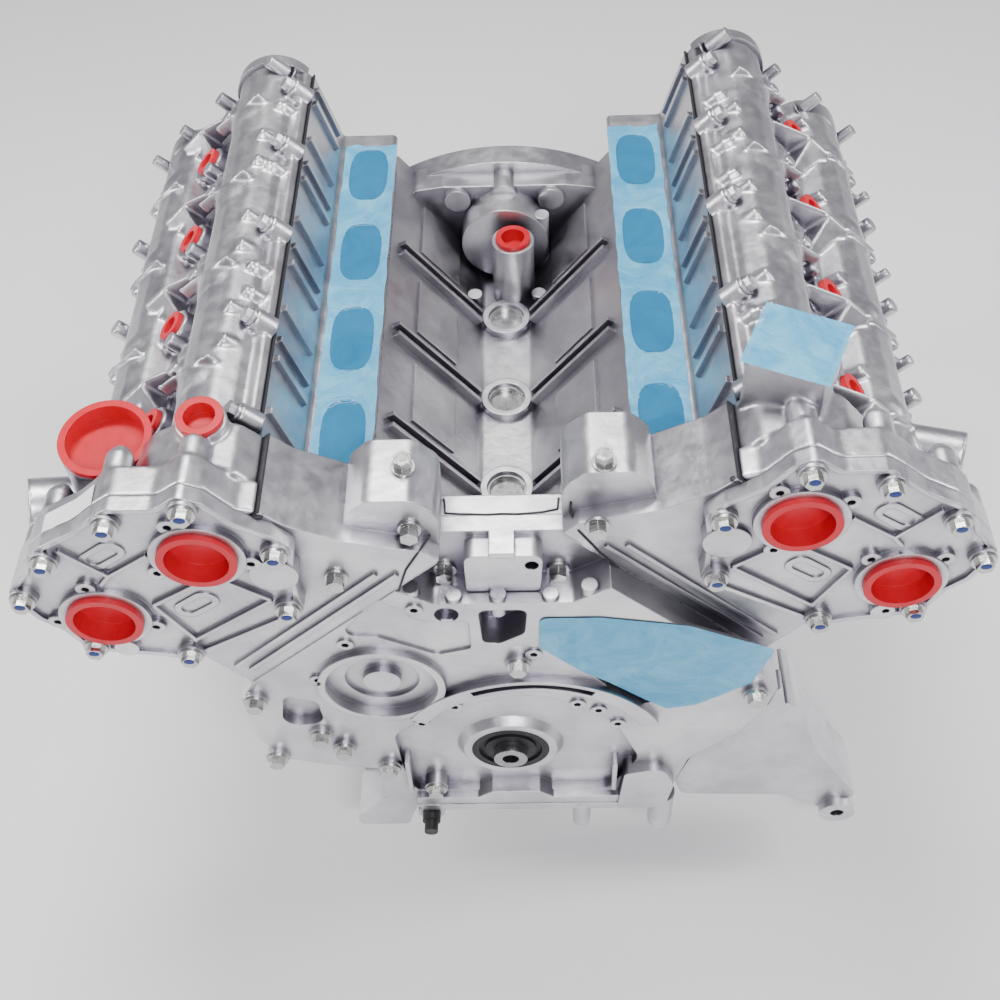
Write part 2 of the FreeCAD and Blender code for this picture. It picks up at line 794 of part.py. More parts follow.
def cam_bearings():
    """Bearing bridges that stand on the head's floor and carry both camshafts."""
    bridges = []
    for side in ("left", "right"):
        half = bearing_bridge_thickness / 2
        first = head_main_front + tray_wall + bridge_wall_gap + half
        last = head_rear - tray_wall - bridge_wall_gap - half
        between = [y + bore_pitch / 2 for y in cylinders[:-1]]
        for y in [first] + between + [last]:
            wall = cam_journal_radius + bearing_bridge_wall
            x_in, z_in = cam_axes["intake"]
            x_ex, z_ex = cam_axes["exhaust"]
            points = [(-70, tray_floor), (80, tray_floor), (x_ex + wall, z_ex + 2), (x_ex + wall - 9, z_ex + wall - 4),
                      (x_ex - wall + 12, z_ex + wall - 4), (14, 338), (-30, 338), (x_in + wall - 7, z_in + wall - 4),
                      (x_in - wall + 9, z_in + wall - 4), (x_in - wall + 1, z_in + 2)]
            bridge = slab(points, y - half, y + half)
            holes = [cylinder_y(cx, cz, cam_journal_radius + running_clearance, y - 20, y + 20)
                     for cx, cz in cam_axes.values()]
            bridges.append(in_bank(cut(bridge, holes), side))
    return group(bridges)


def valves(kind):
    made = []
    radius = intake_valve_radius if kind == "intake" else exhaust_valve_radius
    seat, line, length = valve_lines(kind)
    tip = length - cam_base_radius - 2 * running_clearance - tappet_height
    profile = Part.Wire([
        Part.LineSegment(V(0, 0, 0), V(radius, 0, 0)).toShape(),
        Part.LineSegment(V(radius, 0, 0), V(valve_stem_radius, 0, valve_head_depth)).toShape(),
        Part.LineSegment(V(valve_stem_radius, 0, valve_head_depth), V(valve_stem_radius, 0, tip)).toShape(),
        Part.LineSegment(V(valve_stem_radius, 0, tip), V(0, 0, tip)).toShape(),
        Part.LineSegment(V(0, 0, tip), V(0, 0, 0)).toShape(),
    ])
    one = Part.Face(profile).revolve(V(0, 0, 0), V(0, 0, 1), 360)
    one.rotate(V(0, 0, 0), V(0, 1, 0), math.degrees(math.atan2(line.x, line.z)))
    one.translate(seat)
    for side in ("left", "right"):
        for y in cylinders:
            for shift in (-valve_spacing / 2, valve_spacing / 2):
                copy = one.copy()
                copy.translate(V(0, y + shift, 0))
                made.append(in_bank(copy, side))
    return group(made)


# Covers on the cams


def end_cover_points():
    """Outline of the plate over the ends of one bank's two camshafts, with a lobe at each bolt."""
    return [
        (-50, 263, 8), (28, 280, 12), (46, 281, 8), (58, 302, 14), (80, 334, 12), (86, 352, 10), (78, 374, 12),
        (78, 394, 12), (71, 412, 8), (62, 427, 8), (34, 431, 20), (20, 438, 8), (0, 438, 8), (-28, 431, 20),
        (-50, 430, 8), (-66, 428, 8), (-88, 405, 12), (-110, 402, 8), (-115, 386, 10), (-111, 360, 14),
        (-117, 332, 10), (-116, 312, 10), (-94, 296, 14), (-72, 274, 8), (-65, 263, 8),
    ]


def end_cover_bolts():
    """Bolt places round that plate."""
    return [(-102, 391), (-54.5, 419.5), (10, 428), (59, 416), (76, 347), (37.5, 290.5), (-59, 273.5), (-106, 320)]


def cam_cover(side, extras, openings):
    """Cover over both camshafts of a bank; extras are outer forms, openings their bores, both in place."""
    ramp_top = well_top + wedge_rise
    rear_box = [
        (-107, cover_bottom), (-107, 354, 3), (-99, 358, 3), (-99, 365, 10), (-91, 380, 12), (-75, 389, 14),
        (-57, 389, 14), (-41, 380, 12), (-26, well_top - 8, 5), (8, well_top - 8, 5), (16, 386, 8), (31, 393, 12),
        (51, 393, 12), (66, 386, 12), (75, 371, 10), (76, 356, 4), (100, 353, 3), (100, cover_bottom),
    ]
    inner = [
        (-95, cover_bottom - 1), (-95, 363), (-88, 376.5), (-74, 385), (-58, 385), (-43, 376), (-33, seam_height + 14),
        (12, seam_height + 14), (12, 369), (20, 382), (33, 389.5), (49, 389.5), (62, 382), (70, 369), (70, 350),
        (94, 350), (94, cover_bottom - 1),
    ]
    middle = [
        (84, cover_bottom), (84, 366, 10), (74, 390, 16), (48, 401, 18), (10, 403, 10), (-30, 401, 10),
        (-66, 405, 20), (-99, 394, 18), (-115, 366, 12), (-115, cover_bottom),
    ]
    tunnel = [(77, cover_bottom - 1), (77, 364), (68, 386), (46, 395), (10, 395), (-30, 393), (-66, 397.5), (-94, 388),
              (-108, 364), (-108, cover_bottom - 1)]
    front_points = [p for p in end_cover_points() if p[1] > cover_bottom + 4]
    shell = slab(rear_box, head_main_front, cover_rear)
    front = slab([(84, cover_bottom)] + front_points + [(-119, cover_bottom)], head_front,
                 head_front + cover_flange_depth)
    box_part = slab(middle, head_front + cover_flange_depth - 1, head_main_front + 1)
    hollow = [slab(inner, head_main_front + 8, cover_rear - 8), slab(tunnel, cam_tunnel_front, head_main_front + 9)]
    outer = fuse([shell, front, box_part] + cover_castings(side) + [upright(piece, side) for piece in extras])
    towers = [cylinder_z(well_place, y, well_radius, cover_bottom, well_top + 4) for y in cylinders]
    body = fuse([cut(outer, hollow)] + towers)
    wells = [cylinder_z(well_place, y, well_opening, seam_height - 1, ramp_top + 1) for y in cylinders]
    seats = [cylinder_z(well_place, y, well_opening + plug_lip_reach + side_clearance, well_top + 4, ramp_top + 1)
             for y in cylinders]
    spots = [cylinder_z(x, y, washer_radius - 0.5, top, top + 20) for x, y, top, radius in cover_bolt_places(side)]
    return in_bank(cut(body, wells + seats + spots + [upright(piece, side) for piece in openings]), side)


def cover_castings(side):
    """Bolt bosses, coil posts, ramps beside the plug wells and the rear collars, upright in the bank."""
    forms = []
    for x, y, top, radius in cover_bolt_places(side):
        forms.append(cylinder_z(x, y, radius, cover_bottom, top))
        forms.append(slab([(x, cover_bottom), (x, top - 3), (x - math.copysign(24, x), top + 3),
                           (x - math.copysign(24, x), cover_bottom)], y - 3, y + 3))
    for y in flank_posts[side]:
        forms.append(cylinder_z(-98, y, flank_post_radius, cover_bottom, flank_post_top))
        forms.append(cylinder_z(-98, y, flank_post_radius - 2, cover_bottom, flank_post_top + 5))
    shift = ramp_shift[side]
    top = well_top + wedge_rise
    for y in cylinders:
        if y + shift > cover_rear - 20:
            continue
        ramp = extrude_x([(y + shift, cover_bottom + 8), (y + shift, top), (y + shift - 5, top),
                          (y + shift - 24, well_top - 4), (y + shift - 30, cover_bottom + 8)], -3, 24)
        web = slab([(-50, 372), (-50, 380), (-3, top), (24, top), (24, 372)], y + shift - 3, y + shift)
        forms += [ramp, web]
    for y in cylinders:
        for x, post_shift, radius, height in well_posts[side]:
            forms.append(cylinder_z(x, y + post_shift, radius, cover_bottom + 10, height))
        for post_shift, radius, height in outer_posts[side]:
            place = y + post_shift
            if head_main_front + 8 < place < cover_rear - 10:
                forms.append(cylinder_z(87, place, radius, cover_bottom, height))
                forms.append(slab([(68, cover_bottom + 4), (68, height - 8), (87, height - 6), (87, cover_bottom + 4)],
                                  place - 1.5, place + 1.5))
    for x, z in end_cover_bolts():
        if z > cover_bottom + 30:
            forms.append(cylinder_y(x, z, 10, head_front, head_front + 44))
            forms.append(Part.makeCone(10, 5, 8, V(x, head_front + 44, z), V(0, 1, 0)))
    for x, z in cam_axes.values():
        collar = cylinder_y(x, z, rear_collar_radius, cover_rear - 14, cover_rear + rear_collar_reach)
        above = box(-200, 200, cover_rear - 20, cover_rear + 40, cover_bottom, 500)
        forms.append(collar.common(above))
    return forms


def cover_bolt_places(side):
    """x, y, seat height and boss radius of the bolts that hold a cam cover down."""
    flank = [-43.0] + [y + bore_pitch / 2 for y in cylinders[:-1]] + [cover_rear - 34]
    places = [(-105.5, y, 366, 9) for y in flank]
    places += [(92, y + 28, 362, 8) for y in cylinders]
    return places


def cover_bolt_seats():
    """Bolts of both cam covers and the smaller ones beside the plug wells."""
    bolts = []
    for side in ("left", "right"):
        for x, y, top, radius in cover_bolt_places(side):
            bolts.append(in_bank(hex_bolt((x, y, top), V(0, 0, 1), bolt_head_radius, washer_radius - 1), side))
    return group(bolts)


def extrude_x(points, x0, x1):
    """Slab from an outline of (y, z) points, thick along x."""
    corners = [V(x0, y, z) for y, z in points]
    return Part.Face(Part.makePolygon(corners + corners[:1])).extrude(V(x1 - x0, 0, 0))


def upright(shape, side):
    """Takes a shape in the engine back to the upright frame of its bank."""
    back = shape.copy()
    if side == "left":
        back = back.mirror(V(0, 0, 0), V(1, 0, 0))
    back.translate(V(0, -first_throw_y - bank_shift[side], 0))
    back.rotate(V(0, 0, 0), V(0, 1, 0), -bank_angle)
    return back


def cam_cover_seams():
    """Sealing bead between each head and its cover, standing a little proud of both."""
    seams = []
    for side in ("left", "right"):
        lip = seam_lip
        rear = box(-107 - lip, 100 + lip, head_main_front, cover_rear + lip, seam_height, cover_bottom)
        front = box(-119 - lip, 84 + lip, head_front, head_main_front + 1, seam_height, cover_bottom)
        bead = fuse([rear, front])
        hole = [box(-95, 88, head_main_front + tray_wall, cover_rear - 8, seam_height - 1, cover_bottom + 1),
                box(-107, 74, cam_tunnel_front, head_main_front + tray_wall + 1, seam_height - 1, cover_bottom + 1)]
        seams.append(in_bank(cut(bead, hole), side))
    return group(seams)


def valve_tappets():
    """Bucket tappets over the valve tips, just clear of the cams' base circles."""
    buckets = []
    for kind in ("intake", "exhaust"):
        seat, line, length = valve_lines(kind)
        top = length - cam_base_radius - running_clearance
        for side in ("left", "right"):
            for y in cylinders:
                for shift in (-valve_spacing / 2, valve_spacing / 2):
                    start = seat + V(0, y + shift, 0) + line * (top - tappet_height)
                    buckets.append(in_bank(Part.makeCylinder(tappet_radius, tappet_height, start, line), side))
    return group(buckets)


def belt(circles, growth, y0, y1):
    """Band outline round circles (x, z, radius), given in turn so that the band runs round them."""
    count = len(circles)
    leaving = []
    arriving = [None] * count
    for i in range(count):
        x0, z0, r0 = circles[i]
        x1, z1, r1 = circles[(i + 1) % count]
        r0 += growth
        r1 += growth
        heading = math.atan2(z1 - z0, x1 - x0)
        distance = math.hypot(x1 - x0, z1 - z0)
        angle = heading - math.acos((r0 - r1) / distance)
        leaving.append((V(x0 + r0 * math.cos(angle), y0, z0 + r0 * math.sin(angle)), angle))
        arriving[(i + 1) % count] = (V(x1 + r1 * math.cos(angle), y0, z1 + r1 * math.sin(angle)), angle)
    edges = []
    for i in range(count):
        x, z, radius = circles[i]
        start, first = arriving[i]
        end, last = leaving[i]
        while last < first:
            last += 2 * math.pi
        middle = (first + last) / 2
        reach = radius + growth
        edges.append(Part.Arc(start, V(x + reach * math.cos(middle), y0, z + reach * math.sin(middle)), end).toShape())
        edges.append(Part.LineSegment(end, arriving[(i + 1) % count][0]).toShape())
    return Part.Face(Part.Wire(edges)).extrude(V(0, y1 - y0, 0))


def chain_loop(circles, y):
    y0 = y - chain_width / 2
    outer = belt(circles, seat_gap + chain_thickness, y0, y0 + chain_width)
    inner = belt(circles, seat_gap, y0 - 1, y0 + chain_width + 1)
    return outer.cut(inner)


def timing_chains():
    """For each bank a long chain from the crank to the intake camshaft and a short one between the camshafts."""
    chains = []
    for side in ("left", "right"):
        intake = cam_axes["intake"]
        exhaust = cam_axes["exhaust"]
        long_loop = chain_loop([(0, 0, crank_sprocket_radius), intake + (cam_sprocket_radius,)], chain_offset)
        short_loop = chain_loop([exhaust + (second_sprocket_radius,), intake + (second_sprocket_radius,)],
                                second_chain_offset)
        chains += [in_bank(long_loop, side), in_bank(short_loop, side)]
    return group(chains)


def timing_cover():
    """Front cover: chain case, crank seal boss, coolant pump seat and the arched oil ridge over the crank."""
    front = timing_front
    pump_x, pump_z = pump_recess_centre
    cover = slab(front_face_points(), front, block_front)
    tools = [
        slab([(-78, 300), (-78, 236), (-50, 218, 8), (50, 218, 8), (78, 236), (78, 300)], front - 1, front + 28),
        slab([(-96, 26, 20), (-58, 66, 30), (20, 96, 60), (84, 50, 30), (108, -16, 20), (84, -72, 8), (-84, -72, 8),
              (-92, -30, 20)], front - 1, front + 7),
        slab([(-178, 92, 6), (-152, 82, 8), (-150, 48, 12), (-186, 44, 14)], front - 1, front + 8),
        slab([(-19, 209, 6), (17, 209, 6), (15, 178, 8), (-5, 164, 8), (-17, 166, 6)], front - 1, front + 24),
        slab([(36, 190, 8), (130, 176, 10), (186, 144, 10), (170, 96, 12), (106, 60, 12), (34, 164, 8)],
             front - 1, front + 7),
        slab([(-92, 226, 4), (-60, 196, 4), (-26, 196, 6), (-26, 158, 4), (-52, 150, 8), (-96, 176, 8), (-124, 178, 8)],
             front - 1, front + 2),
    ]
    cover = cut(cover, tools)
    pieces = [
        cover,
        slab([(-27, 219, 4), (27, 219, 4), (29, 262, 8), (-27, 262, 8)], front + 10, front + 29),
        slab([(-19, 206), (17, 206), (17, 196), (-19, 196)], front + 12, front + 25),
        Part.makeCone(crank_boss_radius - 8, crank_boss_radius + 8, 20, V(0, front, 0), V(0, 1, 0)),
        cylinder_y(pump_x, pump_z, pump_recess_radius + 9, front - 5, front + 10),
        arch_ridge(arch_inner_radius, arch_outer_radius, 24, 150, front - 6, front + 8),
        slab([(-84, skirt_bottom), (-84, skirt_bottom + 12, 3), (-30, skirt_bottom + 12, 3), (-18, skirt_bottom + 22, 3),
              (24, skirt_bottom + 22, 3), (36, skirt_bottom + 12, 3), (134, skirt_bottom + 12, 3),
              (134, skirt_bottom)], front - 7, front + 20),
        slab([(96, -30, 6), (128, -20, 12), (139, -50, 6), (134, skirt_bottom), (92, skirt_bottom)],
             front - 9, front + 10),
        slab([(36, 194, 10), (130, 181, 12), (192, 148, 12), (176, 92, 12), (106, 54, 12), (96, 66, 8), (160, 102, 10),
              (176, 140, 10), (126, 168, 12), (46, 182, 6), (44, 160, 4), (34, 158, 4)], front - 0.2, front + 8),
    ]
    for x, z in timing_bolt_places():
        pieces.append(cylinder_y(x, z, 10, front - 4, front + 16))
    for x, z in timing_hole_places():
        pieces.append(cylinder_y(x, z, 6.5, front - 2, front + 9))
    for x in (-66, -36, -4, 34, 62):
        pieces.append(cylinder_z(x, front + 6, 6, 200, 222 if abs(x) < 50 else 232))
    for z0, z1, x in ((-66, -20, 88), (-66, -12, -88)):
        pieces.append(box(x - 2, x + 2, front - 5, front + 9, z0, z1))
    pieces.append(box(-9, 9, front + 8, front + 29, 262, 268))
    cover = fuse(pieces)
    tools = [
        cylinder_y(0, 0, seal_radius, front - 10, front + seal_width),
        cylinder_y(0, 0, snout_radius + 6, front - 10, block_front),
        cylinder_y(pump_x, pump_z, pump_recess_radius + 3, front - 6, front + 4),
        cylinder_y(pump_x, pump_z, pump_recess_radius - 12, front - 6, front + 7),
        arch_ridge(arch_inner_radius + 4, arch_outer_radius - 4, 62, 116, front - 7, front),
        slab(chain_case_points(), front + timing_wall, block_front + 1).common(
            box(-400, 30, front, block_front + 1, -400, 400)),
        slab(chain_case_points(), right_chain_front, block_front + 1),
        cylinder_y(-42, 204, 9, front - 10, front + 8),
        cylinder_y(21, 250, 5, front, front + 22),
    ]
    for x, z in timing_hole_places():
        tools.append(cylinder_y(x, z, 2.8, front - 10, front + 8))
    hub = cylinder_y(pump_x, pump_z, 15, front + 1, front + timing_wall)
    return fuse([cut(cover, tools), hub])


def arch_ridge(inner, outer, start, end, y0, y1):
    """Part of a ring over the crank, from one angle to the other, in degrees from +X."""
    x, z = arch_centre
    def point(radius, angle):
        turn = math.radians(angle)
        return V(x + radius * math.cos(turn), y0, z + radius * math.sin(turn))
    middle = (start + end) / 2
    edges = [
        Part.Arc(point(outer, start), point(outer, middle), point(outer, end)).toShape(),
        Part.LineSegment(point(outer, end), point(inner, end)).toShape(),
        Part.Arc(point(inner, end), point(inner, middle), point(inner, start)).toShape(),
        Part.LineSegment(point(inner, start), point(outer, start)).toShape(),
    ]
    return Part.Face(Part.Wire(edges)).extrude(V(0, y1 - y0, 0))


def timing_hole_places():
    return ((-65, 213), (21, 151), (-43, 74), (-71, 48), (55, 76), (72, 66), (88, 44), (-147, 118), (-120, 168))


def timing_bolt_places():
    return ((-200, 90), (-155, 34), (-138, 12), (-196, -2), (-103, -22), (194, 90), (9, 140), (-66, -60))


def front_crank_seal():
    seal = cylinder_y(0, 0, seal_radius - running_clearance, timing_front, timing_front + seal_width)
    groove = cylinder_y(0, 0, seal_radius - 6, timing_front - 1, timing_front + 3)
    core = cylinder_y(0, 0, seal_radius - 11, timing_front - 1, timing_front + 4)
    seal = seal.cut(groove.cut(core))
    return seal.cut(cylinder_y(0, 0, snout_radius + seat_gap, timing_front - 1, timing_front + seal_width + 1))


def rear_crank_seal():
    rear = bell_face() - 4
    seal = cylinder_y(0, 0, rear_seal_radius - running_clearance, rear - seal_width, rear)
    return seal.cut(cylinder_y(0, 0, flange_radius + seat_gap, rear - seal_width - 1, rear + 1))


def cam_end_cover(side):
    """Plate over the two camshaft ends, with a rimmed edge and a round opening in front of each camshaft."""
    rear = head_front
    face = rear - end_cover_thickness
    rim = outline(end_cover_points(), face)
    plate = Part.Face(rim).extrude(V(0, end_cover_thickness, 0))
    floor_face = Part.Face(rim.makeOffset2D(-end_cover_rim))
    plate = plate.cut(floor_face.extrude(V(0, end_cover_pocket, 0)))
    pieces = [plate]
    holes = []
    for kind, (x, z) in cam_axes.items():
        pieces.append(cylinder_y(x, z, port_flange_radius, face - 2.5, rear))
        holes.append(cylinder_y(x, z, port_radius, face - 4, rear + 1))
        for angle in port_ears[side][kind]:
            ear_x = x + (port_flange_radius + 3) * math.cos(math.radians(angle))
            ear_z = z + (port_flange_radius + 3) * math.sin(math.radians(angle))
            pieces.append(cylinder_y(ear_x, ear_z, 7, face - 1.5, rear))
            holes.append(cylinder_y(ear_x, ear_z, 2.8, face - 4, face + 6))
    for x, z in end_cover_bolts():
        pieces.append(cylinder_y(x, z, 10, face - 3, rear))
    for (x0, z0), (x1, z1) in end_cover_ribs:
        pieces.append(rib_between(x0, z0, x1, z1, end_cover_rib_width, face - 0.6, face + end_cover_pocket + 1))
    pieces.append(cylinder_y(*end_cover_dome, end_cover_dome_radius, face - 1, rear))
    pieces.append(cylinder_y(*end_cover_stub, 9, face - 4, rear))
    for x, z in end_cover_loops:
        outer = slab([(x - 18, z - 12, 10), (x + 18, z - 8, 10), (x + 18, z + 12, 10), (x - 18, z + 8, 10)],
                     face + 1.2, face + end_cover_pocket + 1)
        inner = slab([(x - 13, z - 7, 6), (x + 13, z - 3, 6), (x + 13, z + 7, 6), (x - 13, z + 3, 6)],
                     face, face + end_cover_pocket)
        pieces.append(outer.cut(inner))
    cover = fuse(pieces)
    return in_bank(cut(cover, holes), side)


def rib_between(x0, z0, x1, z1, width, y0, y1):
    """Straight rib on a face, from one point to another."""
    length = math.hypot(x1 - x0, z1 - z0)
    nx = -(z1 - z0) / length * width / 2
    nz = (x1 - x0) / length * width / 2
    return slab([(x0 + nx, z0 + nz), (x1 + nx, z1 + nz), (x1 - nx, z1 - nz), (x0 - nx, z0 - nz)], y0, y1)


def red_plug(radius, depth):
    """Thin-walled transit plug, mouth towards +Z with its lip at z = 0."""
    lip = Part.makeCylinder(radius + plug_lip_reach, plug_lip, V(0, 0, 0), V(0, 0, 1))
    body = Part.makeCylinder(radius - seat_gap, depth + 0.1, V(0, 0, -depth), V(0, 0, 1))
    bowl = Part.makeCylinder(radius - plug_wall, depth, V(0, 0, -depth + plug_wall), V(0, 0, 1))
    return fuse([lip, body]).cut(bowl.fuse(Part.makeCylinder(radius - plug_wall, 20, V(0, 0, -2), V(0, 0, 1))))


def aimed(shape, place, direction):
    turned = shape.copy()
    turned.Placement = FreeCAD.Placement(V(*place), FreeCAD.Rotation(V(0, 0, 1), direction))
    return turned


def cam_port_plugs():
    plugs = []
    face = head_front - end_cover_thickness - 2.5
    for side in ("left", "right"):
        for x, z in cam_axes.values():
            plugs.append(in_bank(aimed(red_plug(port_radius, plug_depth), (x, face, z), V(0, -1, 0)), side))
    return group(plugs)


def filler_axis():
    tilt = math.radians(filler_tilt)
    return V(0, -math.sin(tilt), math.cos(tilt))


def filler_neck(outer, inner, place, length):
    """Round neck and its bore, pointing up and slightly forward."""
    axis = filler_axis()
    start = V(*place) - axis * length
    return Part.makeCylinder(outer, length, start, axis), Part.makeCylinder(inner, length + 1, start + axis * 12, axis)


def left_cover():
    neck, neck_bore = filler_neck(filler_radius + neck_wall, filler_radius, filler_place, 60)
    small, small_bore = filler_neck(small_port_radius + 4, small_port_radius, small_port_place, 40)
    limit = in_bank(box(-400, 400, head_front + 2, head_rear, cover_bottom, 600), "left")
    outer = V(*left_fitting_place)
    aim = V(*left_fitting_aim)
    aim.normalize()
    fitting = Part.makeCylinder(22, 44, outer - aim * 44, aim)
    fitting_bore = Part.makeCylinder(left_fitting_radius, 30, outer - aim * 26, aim)
    extras = [piece.common(limit) for piece in (neck, small, fitting)]
    seats = [Part.makeCylinder(radius + plug_lip_reach + side_clearance, plug_lip + side_clearance, V(*place),
                               filler_axis())
             for radius, place in ((filler_radius, filler_place), (small_port_radius, small_port_place))]
    return cam_cover("left", extras, [neck_bore, small_bore, fitting_bore] + seats)


def pump_pad():
    x, y, z = pump_pad_place
    half = pump_pad_size / 2
    pad = box(-half, half, -half, half, -46, 0)
    pad.rotate(V(0, 0, 0), V(0, 0, 1), pump_pad_turn)
    pad.translate(V(x, y, z))
    return pad


def right_cover():
    limit = in_bank(box(-400, 400, head_front + 2, head_rear, cover_bottom, 600), "right")
    outer = V(*right_fitting_place)
    aim = V(*right_fitting_aim)
    aim.normalize()
    fitting = Part.makeCylinder(17, 50, outer - aim * 50, aim)
    fitting_bore = Part.makeCylinder(right_fitting_radius, 30, outer - aim * 26, aim)
    x, y, z = pump_pad_place
    pad_bore = Part.makeCylinder(17, 12, V(x, y, z - 11), V(0, 0, 1))
    extras = [pump_pad().common(limit), fitting.common(limit)]
    return cam_cover("right", extras, [pad_bore, fitting_bore])


def pump_pad_film():
    x, y, z = pump_pad_place
    half = pump_pad_size / 2 + 3
    sheet = box(-half, half, -half, half, seat_gap, seat_gap + film_thickness)
    sheet.rotate(V(0, 0, 0), V(0, 0, 1), pump_pad_turn)
    sheet.translate(V(x, y, z))
    return sheet


def intake_face_height():
    return lean * (109.6 + 248.2)


def intake_port_film(side):
    z = intake_face_height() + seat_gap
    shift = first_throw_y + bank_shift[side]
    x0, x1 = (film_inner, film_outer) if side == "right" else (-film_outer, -film_inner)
    return box(x0, x1, shift - 42, shift + 361, z, z + film_thickness)


def water_port_film():
    points = [(26, 199, 6), (70, 199, 20), (136, 186, 20), (203, 152, 4), (190, 104, 6), (150, 72, 12), (126, 66, 6),
              (106, 83, 10), (78, 109, 20), (58, 124, 10), (25, 160, 6)]
    return slab(points, timing_front - seat_gap - film_thickness, timing_front - seat_gap)


def filler_plug():
    return aimed(red_plug(filler_radius, plug_depth), filler_place, filler_axis())


def spark_well_plugs():
    plugs = []
    for side in ("left", "right"):
        for y in cylinders:
            plug = aimed(red_plug(well_opening, 10), (well_place, y, well_top + 4), V(0, 0, 1))
            plugs.append(in_bank(plug, side))
    return group(plugs)


def fitting_plug(place, aim, radius):
    """Cup pressed into the mouth of a hose fitting, a little below its rim."""
    cup = Part.makeCylinder(radius - seat_gap, 18, V(0, 0, -20), V(0, 0, 1))
    bowl = Part.makeCylinder(radius - plug_wall, 18, V(0, 0, -17), V(0, 0, 1))
    direction = V(*aim)
    return aimed(cup.cut(bowl), place, direction)


def small_port_plugs():
    valley = aimed(red_plug(valley_port_radius, 12), (8, block_rear - valley_port_inset, valley_port_height),
                   V(0, 0, 1))
    small = aimed(red_plug(small_port_radius, 10), small_port_place, filler_axis())
    left = fitting_plug(left_fitting_place, left_fitting_aim, left_fitting_radius)
    right = fitting_plug(right_fitting_place, right_fitting_aim, right_fitting_radius)
    return group([valley, small, left, right])


def hex_bolt(place, direction, head_radius, washer):
    """Flanged hexagon head standing on its seat."""
    corners = [(head_radius * math.cos(math.pi / 3 * i), head_radius * math.sin(math.pi / 3 * i)) for i in range(6)]
    head = slab(corners, 0, bolt_head_height)
    head.rotate(V(0, 0, 0), V(1, 0, 0), 90)
    flange = Part.makeCylinder(washer, washer_thickness)
    return aimed(fuse([head, flange]), place, direction)


def end_cover_bolt_set():
    bolts = []
    seat = head_front - end_cover_thickness - 3
    for side in ("left", "right"):
        for x, z in end_cover_bolts():
            bolts.append(in_bank(hex_bolt((x, seat, z), V(0, -1, 0), bolt_head_radius, washer_radius), side))
    return group(bolts)


def cover_bolt_set():
    bolts = []
    for x, z in timing_bolt_places():
        bolts.append(hex_bolt((x, timing_front - 4, z), V(0, -1, 0), bolt_head_radius, washer_radius))
    return group(bolts)


def oil_pan_upper():
    front = block_front
    outer = slab([(-rail_half, skirt_bottom), (rail_half, skirt_bottom), (rail_half, skirt_bottom - pan_flange),
                  (pan_half + 8, skirt_bottom - pan_flange), (pan_half, upper_pan_bottom, 14),
                  (-pan_half, upper_pan_bottom, 14), (-pan_half - 8, skirt_bottom - pan_flange),
                  (-rail_half, skirt_bottom - pan_flange)], front, block_rear)
    nose = slab([(-84, skirt_bottom), (134, skirt_bottom), (130, skirt_bottom - pan_flange, 3),
                 (-80, skirt_bottom - pan_flange, 3)], timing_front - 8, front + 1)
    posts = [cylinder_z(61, timing_front - 2, 8, -126, skirt_bottom - 1),
             cylinder_z(132, timing_front + 4, 11, -138, skirt_bottom - 1)]
    bracket = slab([(-84, skirt_bottom), (-84, skirt_bottom - pan_flange), (-96, -138, 4), (-143, -138, 6),
                    (-140, -120), (-112, skirt_bottom)], timing_front, front + 1)
    sensor_boss = cylinder_y(*level_sensor_place, level_sensor_radius + 4, timing_front - 6, front + 1)
    pan = fuse([outer, nose, bracket, sensor_boss] + posts)
    inner = box(-pan_half + 14, pan_half - 14, front + pan_wall + 10, block_rear - pan_wall, upper_pan_bottom + pan_wall,
                skirt_bottom + 1)
    sump = box(-lower_pan_half + pan_wall, lower_pan_half - pan_wall, lower_pan_front + pan_wall,
               block_rear - 40 - pan_wall, upper_pan_bottom - 1, upper_pan_bottom + pan_wall + 1)
    return cut(pan, [inner, sump])


def oil_pan_lower():
    rear = block_rear - 40
    outer = slab([(-lower_pan_half - 10, upper_pan_bottom), (lower_pan_half + 10, upper_pan_bottom),
                  (lower_pan_half + 10, upper_pan_bottom - 4), (lower_pan_half, upper_pan_bottom - 4),
                  (lower_pan_half - 12, lower_pan_bottom, 20), (-lower_pan_half + 12, lower_pan_bottom, 20),
                  (-lower_pan_half, upper_pan_bottom - 4), (-lower_pan_half - 10, upper_pan_bottom - 4)],
                 lower_pan_front, rear)
    inner = slab([(-lower_pan_half + 3, upper_pan_bottom + 1), (lower_pan_half - 3, upper_pan_bottom + 1),
                  (lower_pan_half - 15, lower_pan_bottom + 3, 18), (-lower_pan_half + 15, lower_pan_bottom + 3, 18)],
                 lower_pan_front + 3, rear - 3)
    hole = cylinder_y(40, lower_pan_bottom + 30, drain_plug_radius - 4, rear - 5, rear + 1)
    return cut(outer, [inner, hole])


def drain_plug():
    rear = block_rear - 40
    stem = cylinder_y(40, lower_pan_bottom + 30, drain_plug_radius - 4 - running_clearance, rear - 5, rear)
    return fuse([stem, hex_bolt((40, rear, lower_pan_bottom + 30), V(0, 1, 0), drain_plug_radius, drain_plug_radius + 3)])


def oil_pump():
    """Pump under the first main cap, with its pick-up pipe."""
    top = -main_cap_height
    body = slab([(-38, top), (38, top), (42, top - 30, 12), (14, top - 48, 14), (-14, top - 48, 14), (-42, top - 30, 12)],
                mains[0] - 14, mains[0] + 11)
    pipe_z = top - 34
    pipe = cylinder_y(0, pipe_z - 18, 9, mains[0] + 10, mains[0] + 110)
    drop = cylinder_z(0, mains[0] + 110, 9, lower_pan_bottom + 14, pipe_z - 18)
    elbow = Part.makeSphere(9, V(0, mains[0] + 110, pipe_z - 18))
    bell_mouth = cylinder_z(0, mains[0] + 110, 24, lower_pan_bottom + 6, lower_pan_bottom + 16)
    return fuse([body, pipe, elbow, drop, bell_mouth])


